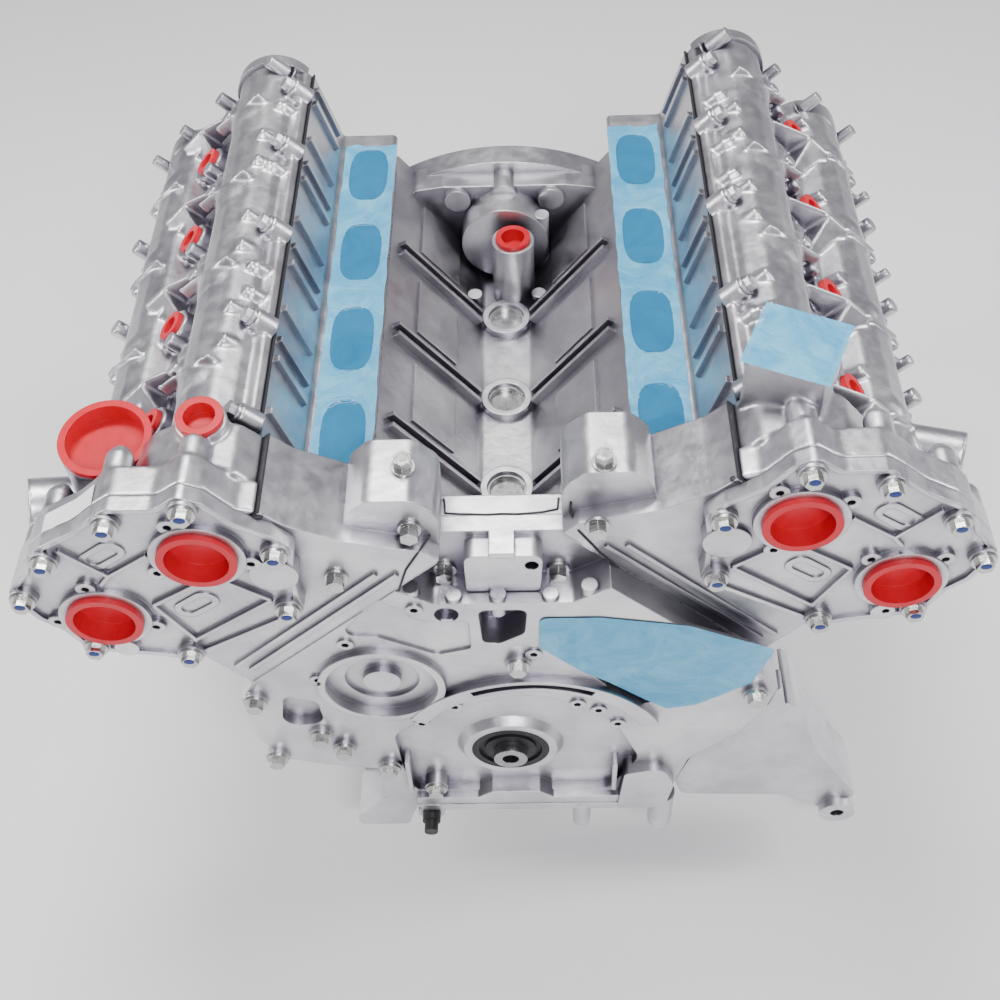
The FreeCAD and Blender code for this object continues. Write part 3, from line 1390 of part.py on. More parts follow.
def engine_bracket():
    """Cast bracket on the right of the front, down to its mounting eye."""
    plate = slab([(216, 92, 6), (210, 56, 12), (192, 18, 16), (155, -24, 10), (143, -74, 8), (150, -100, 10),
                  (240, -104, 12), (286, -136, 8),
                  (302, -128, 8), (300, -100, 10), (246, -20, 30), (222, 60, 14)], 8, 26)
    web = slab([(222, 60, 6), (232, 50), (262, -30, 20), (306, -106, 6), (296, -114, 4), (240, -34, 20)], 8, 60)
    eye = cylinder_y(291, -126, 16, 0, 44)
    foot = box(skirt_half + seat_gap, skirt_half + 18, 20, block_front + 50, -70, -28)
    bracket = fuse([plate, web, eye, foot])
    return cut(bracket, [cylinder_y(291, -126, 6, -1, 45)])


def oil_level_sensor():
    seat = timing_front - 6 - seat_gap
    body = cylinder_y(*level_sensor_place, level_sensor_radius, seat - 8, seat)
    plug_end = cylinder_y(*level_sensor_place, level_sensor_radius - 2, seat - 18, seat - 7)
    return fuse([body, plug_end])


def main():
    os.makedirs("parts", exist_ok=True)
    nodes = {
        "cylinder_block": cylinder_block(),
        "timing_cover": timing_cover(),
        "crankshaft": crankshaft(),
        "main_bearing_caps": main_caps(),
        "core_plugs": core_plugs(),
        "head_gaskets": head_gaskets(),
        "cam_bearing_bridges": cam_bearings(),
        "intake_valves": valves("intake"),
        "exhaust_valves": valves("exhaust"),
        "valve_tappets": valve_tappets(),
        "timing_chains": timing_chains(),
        "cam_cover_seams": cam_cover_seams(),
        "cam_cover_left": left_cover(),
        "cam_cover_right": right_cover(),
        "front_crank_seal": front_crank_seal(),
        "rear_crank_seal": rear_crank_seal(),
        "oil_pan_upper": oil_pan_upper(),
        "oil_pan_lower": oil_pan_lower(),
        "drain_plug": drain_plug(),
        "oil_pump": oil_pump(),
        "oil_level_sensor": oil_level_sensor(),
        "engine_bracket": engine_bracket(),
        "cam_port_plugs": cam_port_plugs(),
        "filler_plug": filler_plug(),
        "spark_well_plugs": spark_well_plugs(),
        "small_port_plugs": small_port_plugs(),
        "end_cover_bolts": end_cover_bolt_set(),
        "cover_bolts": cover_bolt_set(),
        "cam_cover_bolts": cover_bolt_seats(),
        "pump_pad_film": pump_pad_film(),
        "water_port_film": water_port_film(),
    }
    for side in ("left", "right"):
        nodes["cylinder_head_" + side] = cylinder_head(side)
        nodes["cam_end_cover_" + side] = cam_end_cover(side)
        nodes["intake_port_film_" + side] = intake_port_film(side)
        for kind in ("intake", "exhaust"):
            nodes["camshaft_" + kind + "_" + side] = camshaft(side, kind)
        for index in range(cylinders_per_bank):
            number = str(index + 1)
            nodes["piston_" + side + "_" + number] = piston(side, index)
            nodes["rod_" + side + "_" + number] = rod(side, index)
    for name, shape in nodes.items():
        shape.exportStep("parts/" + name + ".step")
        print(name, len(shape.Solids), shape.isValid(), round(shape.Volume / 1000, 1))


main()
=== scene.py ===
import bmesh
import bpy
import json
import math
import random
from mathutils import Matrix, Vector, noise
from mathutils.bvhtree import BVHTree


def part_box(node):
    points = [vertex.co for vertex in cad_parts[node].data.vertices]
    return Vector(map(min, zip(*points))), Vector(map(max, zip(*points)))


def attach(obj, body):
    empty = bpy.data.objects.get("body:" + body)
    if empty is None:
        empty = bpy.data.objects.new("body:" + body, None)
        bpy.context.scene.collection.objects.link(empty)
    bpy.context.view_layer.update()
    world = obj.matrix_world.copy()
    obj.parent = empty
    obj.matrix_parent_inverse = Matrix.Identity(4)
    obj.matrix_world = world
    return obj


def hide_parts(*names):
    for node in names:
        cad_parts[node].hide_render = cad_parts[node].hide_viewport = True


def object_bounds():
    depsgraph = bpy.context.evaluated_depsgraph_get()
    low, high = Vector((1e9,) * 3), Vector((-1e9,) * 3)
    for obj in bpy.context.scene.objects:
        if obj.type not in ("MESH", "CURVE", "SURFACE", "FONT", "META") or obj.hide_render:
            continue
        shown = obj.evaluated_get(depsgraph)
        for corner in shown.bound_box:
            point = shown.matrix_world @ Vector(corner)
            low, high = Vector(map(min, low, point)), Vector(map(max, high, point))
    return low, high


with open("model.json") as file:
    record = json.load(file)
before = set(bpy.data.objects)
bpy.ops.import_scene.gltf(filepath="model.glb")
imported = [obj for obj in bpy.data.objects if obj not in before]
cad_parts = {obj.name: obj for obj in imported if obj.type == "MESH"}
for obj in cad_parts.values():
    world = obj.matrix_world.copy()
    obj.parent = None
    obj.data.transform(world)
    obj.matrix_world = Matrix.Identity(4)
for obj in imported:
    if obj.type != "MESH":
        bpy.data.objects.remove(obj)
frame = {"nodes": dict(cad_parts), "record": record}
cad_low, cad_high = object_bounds()

# Camera solved from the photograph: place in metres, angles in radians, focal length and centre in pixels
camera_place = Vector((0.02314, -0.55952, 1.05004))
camera_yaw = -0.044
camera_pitch = 0.855
camera_roll = 0.052
focal_pixels = 1382.682
centre_pixels = (492.436, 432.236)
picture_pixels = 1000.0
sensor_width_mm = 36.0
near_clip = 0.01

# Stage, in metres: name, place, size, watts and colour of each light
floor_half = 6.0
light_target = (0.0, 0.25, 0.1)
lights = (
    ("light_above", (-0.25, 0.75, 2.0), (1.0, 0.3), 42.0, (1.0, 0.99, 0.98)),
    ("light_front", (0.35, -1.5, 1.9), (1.0, 0.25), 46.0, (0.98, 0.98, 1.0)),
    ("light_low", (-0.2, -2.2, 0.55), (1.6, 0.35), 5.0, (1.0, 0.98, 0.98)),
    ("light_left", (-1.9, 0.1, 1.0), (0.3, 1.1), 26.0, (1.0, 0.97, 0.98)),
    ("light_right", (1.9, 0.3, 1.2), (0.3, 1.1), 26.0, (0.97, 0.98, 1.0)),
)
sky_colour = (0.80, 0.79, 0.88, 1.0)
sky_strength = 0.38

# Sizes of the engine that the dressing follows, in millimetres
bore_pitch = 105.5
first_throw_y = 139.5
sides = ("left", "right")
bank_shift = {"left": -11.0, "right": 11.0}
lean = math.sqrt(0.5)
cylinders = [bore_pitch * i for i in range(4)]
head_front = -128.0
bolt_face = 23.0
end_bolts = (
    (-102, 391), (-54.5, 419.5), (10, 428), (59, 416), (76, 347), (37.5, 290.5), (-59, 273.5), (-106, 320),
)

# Skin of the cast covers, and the distance within which points of a mesh are joined, in metres
skin_voxel = 0.0016
skin_rounds = 3
skin_softness = 0.5
weld_distance = 0.00001

# Plate in the covers' step: outline of (x, z) upright in the bank, in millimetres. The left one is shorter,
# because the small port's plug stands there
cover_step = (
    (-113, 362), (-108, 380), (-99, 392), (-66, 402), (-30, 398), (10, 400), (48, 398), (74, 387), (82, 366),
    (82, 350), (72, 350), (72, 364), (63, 379), (50, 386), (32, 386), (19, 379), (13, 362), (-31, 362),
    (-44, 374), (-58, 382), (-74, 382), (-88, 373), (-95, 362), (-98, 354), (-107, 350), (-113, 350),
)
step_reach = {"left": -88, "right": -200}
step_front, step_rear = -64, -57

# Webs, posts and humps of the covers at each cylinder, upright in the bank, in millimetres.
# Each y is from the cylinder's own place
web_thickness = 3.0
cover_webs = (
    ((-92, 8, 384), (-30, 14, 388), 12.0),
    ((20, -16, 392), (62, -12, 390), 10.0),
    ((60, 10, 386), (92, 12, 360), 12.0),
)
cover_posts = ((-34, 36, 366, 388), (12, 30, 366, 386), (70, -8, 360, 389))
cover_post_radii = (7.0, 6.0)
cover_humps = (
    ((-66, 0, 366), (27, 34, 26)),
    ((41, 2, 369), (27, 30, 27)),
    ((-50, 26, 385), (7, 11, 5)),
    ((-84, 22, 378), (6, 9, 6)),
    ((-36, 52, 376), (9, 13, 8)),
)
flank_post_shifts = (30.0, 66.0)
flank_post_x, flank_post_z = -92, 356
flank_post_radii = (6.5, 5.6)
flank_post_metres = 0.026

# Rings at the rear of the covers: centre and lugs in millimetres, profile of (radius, depth) and the flange's
# distances in metres, arc in degrees
ring_centre = (-66, 379, 355)
ring_profile = ((0.033, 0.0), (0.033, 0.012), (0.0375, 0.012), (0.0375, 0.0))
ring_start, ring_sweep, ring_steps = -8, 196, 40
lug_taper, lug_flange = 0.7, 3
lug_flange_low, lug_flange_high = 0.004, 0.003
rear_lugs = {
    "left": ((-96, 372, 368, 7, 20), (-30, 376, 376, 7, 20), (20, 372, 384, 6, 18), (66, 370, 384, 6, 18)),
    "right": ((-98, 372, 366, 7, 22), (-34, 376, 376, 6, 18), (16, 372, 384, 6, 18), (68, 370, 384, 6, 18)),
}

# Bolt heads: depth, radius, sides and start of the flange, the hexagon and its raised face, in metres. The
# places of the bolts are in millimetres, and the paint dabs' sizes in metres
bolt_parts = ((0.0025, 0.0085, 28, 0.0), (0.008, 0.0068, 6, 0.0025), (0.0004, 0.0042, 20, 0.0103))
bolt_aims = {"front": Vector((0.0, -1.0, 0.0)), "up": Vector((0.0, 0.0, 1.0))}
front_bolts = (
    (-62.5, 13.5, 292.0, "front"), (67.0, 22.5, 281.0, "front"), (-42.6, 27.9, 223.5, "front"),
    (40.0, 27.9, 221.2, "front"), (-65.8, 42.3, 321.6, "up"), (71.6, 43.5, 321.6, "up"),
    (-116.6, 0.5, 254.6, "front"),
)
dab_radii = (0.0042, 0.0007, 0.0032)
dab_lift = Vector((0.0, 0.0, 0.0022))

# Pad on the valley wall of each head: outline of (x, z) upright in the bank, in millimetres, and its rounding
# in metres
pad_outline = ((-86, 308), (-101, 335), (-97, 338), (-82, 311))
pad_front, pad_rear = -68, -42
pad_rounding = 0.0012

# Sealant squeezed out of the joints, in millimetres but for the radii in metres
sealant_radius = 0.0008
sealant_lines = (
    ((-41.5, 57, 268.4), (-40.6, 50, 268.4), (-40.3, 44, 268.4), (-30, 43, 268.4), (-10, 42, 268.4),
     (0, 42.5, 268.4), (12, 42, 268.4), (30, 43.5, 268.4), (40, 46, 268.4), (41, 56, 268.4)),
    ((-49, 13, 283), (-57, 0, 281), (-67, 0, 261), (-74, 0.2, 236)),
    ((49, 35, 290), (48.6, 35, 280), (54, 22, 274), (70, 22, 247), (84, 22, 228)),
)
sealant_dabs = ((-160.5, 1.5, 324.5, 4.0, 2.2), (159.5, 25.0, 324.6, 5.0, 2.2))
sealant_dab_depth = 0.0032

# Label on the left cover: corners in millimetres, the way it faces, and its distances in metres
label_corners = ((-311.0, 17.0, 308.0), (-270.0, 19.0, 339.0), (-268.0, 1.5, 339.0), (-309.0, 1.5, 308.0))
label_outward = Vector((-0.62, 0.0, 0.77)).normalized()
label_steps = 14
label_search = 0.03
label_lift = 0.0005

# Film over the intake faces, in metres but for grid, seeds, scales of the noise and shares of a window
film_rows = 260
film_columns = 34
film_seeds = {"left": 3, "right": 5}
film_offset_span = 10
film_below_face = 0.0001
crease_height, crease_scale = 0.0006, 28
fold_height, fold_scales = 0.0003, (90, 55)
window_sink = 0.0005
ragged_side, ragged_side_scales = 0.0012, (10, 60)
ragged_end, ragged_end_scales = 0.004, (90, 10)
port_row_inner, port_row_outer = 0.0986, 0.146
window_shift = {"left": 0.003, "right": -0.006}
window_half_width = 0.0175
window_half_length = 0.036
window_power = 3
window_snap = 0.04
window_rim_outside, window_rim = 1.06, 0.12

# Film cut to a node's outline: lengths in metres
patch_facing = 0.9
patch_edge = 0.006
patch_rounds = 4
patch_crease, patch_scales = 0.0003, (40, 110)


# Camera, floor and light


def make_camera():
    sine_yaw, cosine_yaw = math.sin(camera_yaw), math.cos(camera_yaw)
    sine_pitch, cosine_pitch = math.sin(camera_pitch), math.cos(camera_pitch)
    sine_roll, cosine_roll = math.sin(camera_roll), math.cos(camera_roll)
    ahead = Vector((sine_yaw * cosine_pitch, cosine_yaw * cosine_pitch, -sine_pitch))
    right = Vector((cosine_yaw, -sine_yaw, 0.0))
    down = ahead.cross(right)
    across = right * cosine_roll + down * sine_roll
    below = down * cosine_roll - right * sine_roll
    data = bpy.data.cameras.new("camera")
    data.sensor_width = sensor_width_mm
    data.lens = sensor_width_mm * focal_pixels / picture_pixels
    data.shift_x = (picture_pixels / 2 - centre_pixels[0]) / picture_pixels
    data.shift_y = (centre_pixels[1] - picture_pixels / 2) / picture_pixels
    data.clip_start = near_clip
    camera = bpy.data.objects.new("camera", data)
    turn = Matrix((across, -below, -ahead)).transposed()
    camera.matrix_world = Matrix.Translation(camera_place) @ turn.to_4x4()
    bpy.context.collection.objects.link(camera)
    bpy.context.scene.camera = camera


make_camera()


def new_object(name, data):
    made = bpy.data.objects.new(name, data)
    bpy.context.collection.objects.link(made)
    return made


def make_floor():
    half = floor_half
    height = cad_low[2]
    corners = [(-half, -half, height), (half, -half, height), (half, half, height), (-half, half, height)]
    mesh = bpy.data.meshes.new("floor")
    mesh.from_pydata(corners, [], [(0, 1, 2, 3)])
    floor = new_object("floor", mesh)
    floor.data.materials.append(floor_material())


def area_light(name, place, size, watts, colour):
    data = bpy.data.lights.new(name, "AREA")
    data.shape = "RECTANGLE"
    data.size, data.size_y = size
    data.energy = watts
    data.color = colour
    light = new_object(name, data)
    aim = (Vector(light_target) - Vector(place)).to_track_quat("-Z", "Y")
    light.matrix_world = Matrix.Translation(place) @ aim.to_matrix().to_4x4()


def make_light():
    for light in lights:
        area_light(*light)
    world = bpy.data.worlds.new("world")
    bpy.context.scene.world = world
    world.use_nodes = True
    background = world.node_tree.nodes["Background"]
    background.inputs["Color"].default_value = sky_colour
    background.inputs["Strength"].default_value = sky_strength


# Materials


class Shader:
    """A material's node tree, with short calls for the nodes used here."""

    def __init__(self, name):
        self.material = bpy.data.materials.new(name)
        self.material.use_nodes = True
        self.tree = self.material.node_tree
        self.surface = self.tree.nodes["Principled BSDF"]
        self.where = self.tree.nodes.new("ShaderNodeTexCoord").outputs["Object"]

    def link(self, source, target):
        """Joins an output to an input, or sets the input where the source is a plain value."""
        if hasattr(source, "is_output"):
            self.tree.links.new(source, target)
        else:
            target.default_value = source

    def set(self, name, value):
        self.link(value, self.surface.inputs[name])

    def noise(self, scale, detail=3.0, roughness=0.5, distortion=0.0):
        node = self.tree.nodes.new("ShaderNodeTexNoise")
        self.link(self.where, node.inputs["Vector"])
        node.inputs["Scale"].default_value = scale
        node.inputs["Detail"].default_value = detail
        node.inputs["Roughness"].default_value = roughness
        node.inputs["Distortion"].default_value = distortion
        return node.outputs["Fac"]

    def span(self, value, low, high, to_low, to_high):
        node = self.tree.nodes.new("ShaderNodeMapRange")
        self.link(value, node.inputs["Value"])
        for name, number in (("From Min", low), ("From Max", high), ("To Min", to_low), ("To Max", to_high)):
            node.inputs[name].default_value = number
        return node.outputs["Result"]

    def mix(self, factor, first, second):
        node = self.tree.nodes.new("ShaderNodeMix")
        node.data_type = "RGBA"
        self.link(factor, node.inputs["Factor"])
        self.link(first, node.inputs["A"])
        self.link(second, node.inputs["B"])
        return [out for out in node.outputs if out.type == "RGBA"][0]

    def bump(self, height, strength, distance, normal=None):
        node = self.tree.nodes.new("ShaderNodeBump")
        self.link(height, node.inputs["Height"])
        node.inputs["Strength"].default_value = strength
        node.inputs["Distance"].default_value = distance
        if normal is not None:
            self.link(normal, node.inputs["Normal"])
        return node.outputs["Normal"]

    def crevice(self, distance):
        """Ambient occlusion that masks painted shade: 0 deep in a crevice, 1 in the open."""
        node = self.tree.nodes.new("ShaderNodeAmbientOcclusion")
        node.samples = 6
        node.inputs["Distance"].default_value = distance
        return node.outputs["AO"]

    def rounded(self, radius):
        """Normal that makes sharp edges look rounded."""
        node = self.tree.nodes.new("ShaderNodeBevel")
        node.samples = 6
        node.inputs["Radius"].default_value = radius
        return node.outputs["Normal"]


def floor_material():
    shader = Shader("pale_floor")
    shader.set("Base Color", shader.mix(shader.noise(3.0), (0.8, 0.8, 0.8, 1), (0.86, 0.86, 0.86, 1)))
    shader.set("Roughness", 0.8)
    return shader.material


def cast_aluminium():
    """Sand-cast alloy: a fine grain, soft unevenness, and painted shade, darker and more violet, in the
    crevices.
    """
    shader = Shader("cast_aluminium")
    dull, bright = (0.56, 0.55, 0.58, 1), (0.80, 0.795, 0.80, 1)
    grain_colour = (0.46, 0.45, 0.48, 1)
    crevice_shade_colour = (0.17, 0.155, 0.2, 1)
    patches = shader.noise(13.0, 5.0, 0.62)
    grain = shader.noise(1300.0, 2.0, 0.7)
    tone = shader.mix(shader.span(patches, 0.36, 0.64, 0.0, 1.0), dull, bright)
    speck = shader.mix(shader.span(grain, 0.38, 0.7, 0.0, 0.4), tone, grain_colour)
    # Painted shade: the colour turns a dark violet grey where the ambient occlusion finds a crevice.
    free_of_painted_shade = shader.span(shader.crevice(0.03), 0.25, 0.9, 0.0, 1.0)
    shader.set("Base Color", shader.mix(free_of_painted_shade, crevice_shade_colour, speck))
    shader.set("Metallic", 1.0)
    shader.set("Roughness", shader.span(shader.noise(70.0, 4.0, 0.6), 0.3, 0.7, 0.3, 0.46))
    waves = shader.bump(shader.noise(48.0, 3.0, 0.5), 0.35, 0.002, shader.rounded(0.0016))
    shader.set("Normal", shader.bump(grain, 0.25, 0.0004, waves))
    return shader.material


def plain_metal(name, colour, roughness, edge):
    shader = Shader(name)
    rub = shader.noise(90.0, 5.0, 0.7)
    darker = tuple(c * 0.72 for c in colour[:3]) + (1.0,)
    shader.set("Base Color", shader.mix(rub, darker, colour))
    shader.set("Metallic", 1.0)
    shader.set("Roughness", shader.span(rub, 0.3, 0.7, roughness - 0.06, roughness + 0.08))
    shader.set("Normal", shader.bump(shader.noise(700.0), 0.06, 0.0002, shader.rounded(edge)))
    return shader.material


def moulded(name, colour, roughness, edge):
    shader = Shader(name)
    cloud = shader.noise(120.0, 3.0)
    darker = tuple(c * 0.8 for c in colour[:3]) + (1.0,)
    shader.set("Base Color", shader.mix(cloud, darker, colour))
    shader.set("Roughness", shader.span(cloud, 0.3, 0.7, roughness - 0.05, roughness + 0.1))
    shader.set("Specular IOR Level", 0.35)
    shader.set("Normal", shader.bump(shader.noise(900.0), 0.05, 0.0002, shader.rounded(edge)))
    return shader.material


def film_material():
    """Thin masking film where it clings to the machined face."""
    shader = Shader("blue_film")
    deep, pale = (0.06, 0.36, 0.60, 1), (0.16, 0.50, 0.72, 1)
    creases = shader.noise(24.0, 6.0, 0.65, 1.5)
    fine = shader.noise(95.0, 4.0, 0.7, 2.0)
    shader.set("Base Color", shader.mix(shader.span(creases, 0.35, 0.65, 0.0, 1.0), deep, pale))
    shader.set("Roughness", 0.32)
    shader.set("Specular IOR Level", 0.35)
    shader.set("Alpha", shader.span(creases, 0.3, 0.7, 0.86, 0.94))
    wrinkled = shader.bump(fine, 0.4, 0.0014)
    shader.set("Normal", shader.bump(creases, 0.6, 0.003, wrinkled))
    return shader.material


def port_film_material():
    """The same film where it spans an open port, with the shade of the port's hollow behind it painted into
    its colour.
    """
    shader = Shader("blue_film_over_port_painted_shade")
    creases = shader.noise(30.0, 4.0, 0.6, 0.8)
    # Painted shade: these dark blues stand in for the shaded hollow of the port seen through the film.
    shader.set("Base Color", shader.mix(creases, (0.01, 0.13, 0.27, 1), (0.03, 0.22, 0.40, 1)))
    shader.set("Roughness", 0.2)
    shader.set("Specular IOR Level", 0.3)
    shader.set("Alpha", 0.95)
    shader.set("Normal", shader.bump(creases, 0.4, 0.002))
    return shader.material


materials = {
    "cast_aluminium": cast_aluminium(),
    "forged_steel": plain_metal("forged_steel", (0.42, 0.42, 0.43, 1), 0.3, 0.0006),
    "grey_iron": plain_metal("grey_iron", (0.2, 0.2, 0.21, 1), 0.5, 0.001),
    "pressed_steel": plain_metal("pressed_steel", (0.6, 0.6, 0.6, 1), 0.28, 0.0006),
    "zinc_steel": plain_metal("zinc_steel", (0.62, 0.62, 0.6, 1), 0.25, 0.0005),
    "painted_sheet": moulded("painted_sheet", (0.03, 0.03, 0.03, 1), 0.4, 0.001),
    "dark_sealant": moulded("dark_sealant", (0.03, 0.03, 0.035, 1), 0.5, 0.0004),
    "black_rubber": moulded("black_rubber", (0.015, 0.015, 0.016, 1), 0.55, 0.0004),
    "black_plastic": moulded("black_plastic", (0.02, 0.02, 0.02, 1), 0.4, 0.0005),
    "red_plastic": moulded("red_plastic", (0.62, 0.006, 0.02, 1), 0.34, 0.0006),
    "blue_paint": moulded("blue_paint", (0.02, 0.04, 0.2, 1), 0.45, 0.0003),
    "label_paper": moulded("label_paper", (0.95, 0.95, 0.97, 1), 0.6, 0.0003),
    "blue_film": film_material(),
    "blue_film_over_port_painted_shade": port_film_material(),
}

slots = {entry["node"]: entry["material_slot"] for entry in frame["record"]["subparts"]}


def dress_nodes():
    for name, node in frame["nodes"].items():
        node.data.materials.clear()
        node.data.materials.append(materials[slots[name]])


make_floor()
make_light()
dress_nodes()


# Places in a bank, and the forms that are added there


def bank_place(side, x, y, z):
    """Place in the engine, in metres, of a point given upright in its bank, in millimetres."""
    mirror = 1.0 if side == "right" else -1.0
    return Vector((mirror * lean * (x + z), first_throw_y + bank_shift[side] + y, lean * (z - x))) / 1000


def bank_axis(side):
    return Vector((lean if side == "right" else -lean, 0.0, lean))


def bank_across(side):
    return Vector((lean if side == "right" else -lean, 0.0, -lean))


def turned_to(direction):
    """Matrix that turns the z axis to a direction."""
    return direction.to_track_quat("Z", "Y").to_matrix().to_4x4()


def add_post(mesh, start, end, low_radius, high_radius):
    """Round post between two places in metres, with radii in millimetres."""
    along = end - start
    matrix = Matrix.Translation((start + end) / 2) @ turned_to(along)
    bmesh.ops.create_cone(mesh, cap_ends=True, segments=20, radius1=low_radius / 1000,
                          radius2=high_radius / 1000, depth=along.length, matrix=matrix)


def add_mound(mesh, side, centre, radii):
    """Smooth bulge of a casting, an ellipsoid with its axes along the bank."""
    place = bank_place(side, *centre)
    tilt = -math.pi / 4 if side == "left" else math.pi / 4
    matrix = (Matrix.Translation(place) @ Matrix.Rotation(tilt, 4, "Y")
              @ Matrix.Diagonal((radii[0] / 1000, radii[1] / 1000, radii[2] / 1000, 1.0)))
    bmesh.ops.create_icosphere(mesh, subdivisions=3, radius=1.0, matrix=matrix)


def add_bar(mesh, side, start, end, width, depth):
    """Square bar between two places of a bank."""
    low, high = bank_place(side, *start), bank_place(side, *end)
    along = high - low
    matrix = (Matrix.Translation((low + high) / 2) @ turned_to(along)
              @ Matrix.Diagonal((width / 1000, depth / 1000, along.length, 1.0)))
    bmesh.ops.create_cube(mesh, size=1.0, matrix=matrix)


def add_plate(mesh, side, outline, near, far):
    """Plate across the bank from an outline of (x, z), between two distances along the bank."""
    front = [mesh.verts.new(bank_place(side, x, near, z)) for x, z in outline]
    back = [mesh.verts.new(bank_place(side, x, far, z)) for x, z in outline]
    made = [mesh.faces.new(front), mesh.faces.new(list(reversed(back)))]
    for i in range(len(outline)):
        after = (i + 1) % len(outline)
        made.append(mesh.faces.new((front[after], front[i], back[i], back[after])))
    bmesh.ops.recalc_face_normals(mesh, faces=made)


def add_dab(mesh, place, radii):
    """Flattened drop of paint or sealant."""
    matrix = Matrix.Translation(place) @ Matrix.Diagonal(radii + (1.0,))
    bmesh.ops.create_icosphere(mesh, subdivisions=2, radius=1.0, matrix=matrix)


def add_bolt(mesh, place, direction):
    """Flanged hexagon head, about 12 mm across its flats."""
    turn = turned_to(direction)
    for depth, radius, corners, start in bolt_parts:
        matrix = Matrix.Translation(place + direction * (start + depth / 2)) @ turn
        bmesh.ops.create_cone(mesh, cap_ends=True, segments=corners, radius1=radius, radius2=radius,
                              depth=depth, matrix=matrix)


def finish_piece(mesh, name, material):
    """A piece of dressing that is fixed to the engine."""
    data = bpy.data.meshes.new(name)
    mesh.to_mesh(data)
    mesh.free()
    data.materials.append(materials[material])
    piece = new_object(name, data)
    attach(piece, "engine")


def grid_faces(rows, columns):
    """Faces of a grid whose points are listed row by row."""
    faces = []
    for row in range(rows):
        for column in range(columns):
            start = row * (columns + 1) + column
            faces.append((start, start + 1, start + columns + 2, start + columns + 1))
    return faces


def make_smooth(data):
    for polygon in data.polygons:
        polygon.use_smooth = True


# Covers with soft cast edges


def cast_piece(node, extras):
    """Stands for a node: its mesh and the added forms in one skin, relaxed so that its edges are soft."""
    mesh = bmesh.new()
    mesh.from_mesh(frame["nodes"][node].data)
    bmesh.ops.remove_doubles(mesh, verts=mesh.verts, dist=weld_distance)
    extras(mesh)
    data = bpy.data.meshes.new(node + "_casting")
    mesh.to_mesh(data)
    mesh.free()
    piece = new_object(node + "_casting", data)
    remesh = piece.modifiers.new("skin", "REMESH")
    remesh.mode = "VOXEL"
    remesh.voxel_size = skin_voxel
    remesh.use_smooth_shade = True
    soften = piece.modifiers.new("soften", "SMOOTH")
    soften.factor = skin_softness
    soften.iterations = skin_rounds
    graph = bpy.context.evaluated_depsgraph_get()
    made = bpy.data.meshes.new_from_object(piece.evaluated_get(graph))
    piece.modifiers.clear()
    piece.data = made
    piece.data.materials.clear()
    piece.data.materials.append(materials["cast_aluminium"])
    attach(piece, "engine")
    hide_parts(node)


def cover_details(side):
    """Gives the function that adds a cover's plate, webs, posts and humps to its mesh."""
    def add(mesh):
        outline = [(x, z) for x, z in cover_step if x > step_reach[side]]
        add_plate(mesh, side, outline, step_front, step_rear)
        for y in cylinders:
            for start, end, depth in cover_webs:
                low = (start[0], y + start[1], start[2])
                high = (end[0], y + end[1], end[2])
                add_bar(mesh, side, low, high, web_thickness, depth)
            for x, shift, foot, top in cover_posts:
                low = bank_place(side, x, y + shift, foot)
                high = bank_place(side, x, y + shift, top)
                add_post(mesh, low, high, *cover_post_radii)
            for (x, shift, z), radii in cover_humps:
                add_mound(mesh, side, (x, y + shift, z), radii)
        for y in cylinders[:-1]:
            for shift in flank_post_shifts:
                foot = bank_place(side, flank_post_x, y + shift, flank_post_z)
                add_post(mesh, foot, foot + bank_axis(side) * flank_post_metres, *flank_post_radii)
    return add


def dress_covers():
    for side in sides:
        cast_piece("cam_cover_" + side, cover_details(side))


# Dressing of the rear, the front and the joints


def rear_ring(side):
    """Ring and lugs at the rear end of a cover, where a pump or sensor would be bolted on."""
    mesh = bmesh.new()
    rear = bank_place(side, *ring_centre)
    forward = Vector((0.0, 1.0, 0.0))
    rows = []
    for radius, depth in ring_profile:
        row = []
        for i in range(ring_steps + 1):
            angle = math.radians(ring_start + ring_sweep * i / ring_steps)
            outward = bank_axis(side) * math.sin(angle) + bank_across(side) * math.cos(angle)
            row.append(mesh.verts.new(rear + outward * radius + forward * depth))
        rows.append(row)
    for first, second in zip(rows, rows[1:] + rows[:1]):
        for i in range(ring_steps):
            mesh.faces.new((first[i], first[i + 1], second[i + 1], second[i]))
    mesh.faces.new([row[0] for row in rows])
    mesh.faces.new([row[-1] for row in reversed(rows)])
    for x, y, z, radius, height in rear_lugs[side]:
        place = bank_place(side, x, y, z)
        add_post(mesh, place, place + bank_axis(side) * height / 1000, radius, radius - lug_taper)
        low = place - bank_axis(side) * lug_flange_low
        high = place - bank_axis(side) * lug_flange_high
        add_post(mesh, low, high, radius + lug_flange, radius + lug_flange)
    bmesh.ops.recalc_face_normals(mesh, faces=mesh.faces)
    finish_piece(mesh, "rear_ring_" + side, "cast_aluminium")


def dress_rears():
    for side in sides:
        rear_ring(side)


def dress_front():
    """Bolts round the front, and paint dabs on the bolts of the end covers."""
    mesh = bmesh.new()
    for x, y, z, aim in front_bolts:
        add_bolt(mesh, Vector((x, y, z)) / 1000, bolt_aims[aim])
    finish_piece(mesh, "front_bolts", "zinc_steel")
    mesh = bmesh.new()
    for side in sides:
        for x, z in end_bolts:
            add_dab(mesh, bank_place(side, x, head_front - bolt_face, z) + dab_lift, dab_radii)
    finish_piece(mesh, "paint_dabs", "blue_paint")


def dress_head_pads():
    """Small cast pad on the valley wall of each head, beside the step to its front part."""
    mesh = bmesh.new()
    for side in sides:
        add_plate(mesh, side, pad_outline, pad_front, pad_rear)
    bmesh.ops.bevel(mesh, geom=mesh.edges[:], offset=pad_rounding, segments=2, affect="EDGES")
    finish_piece(mesh, "head_pads", "cast_aluminium")


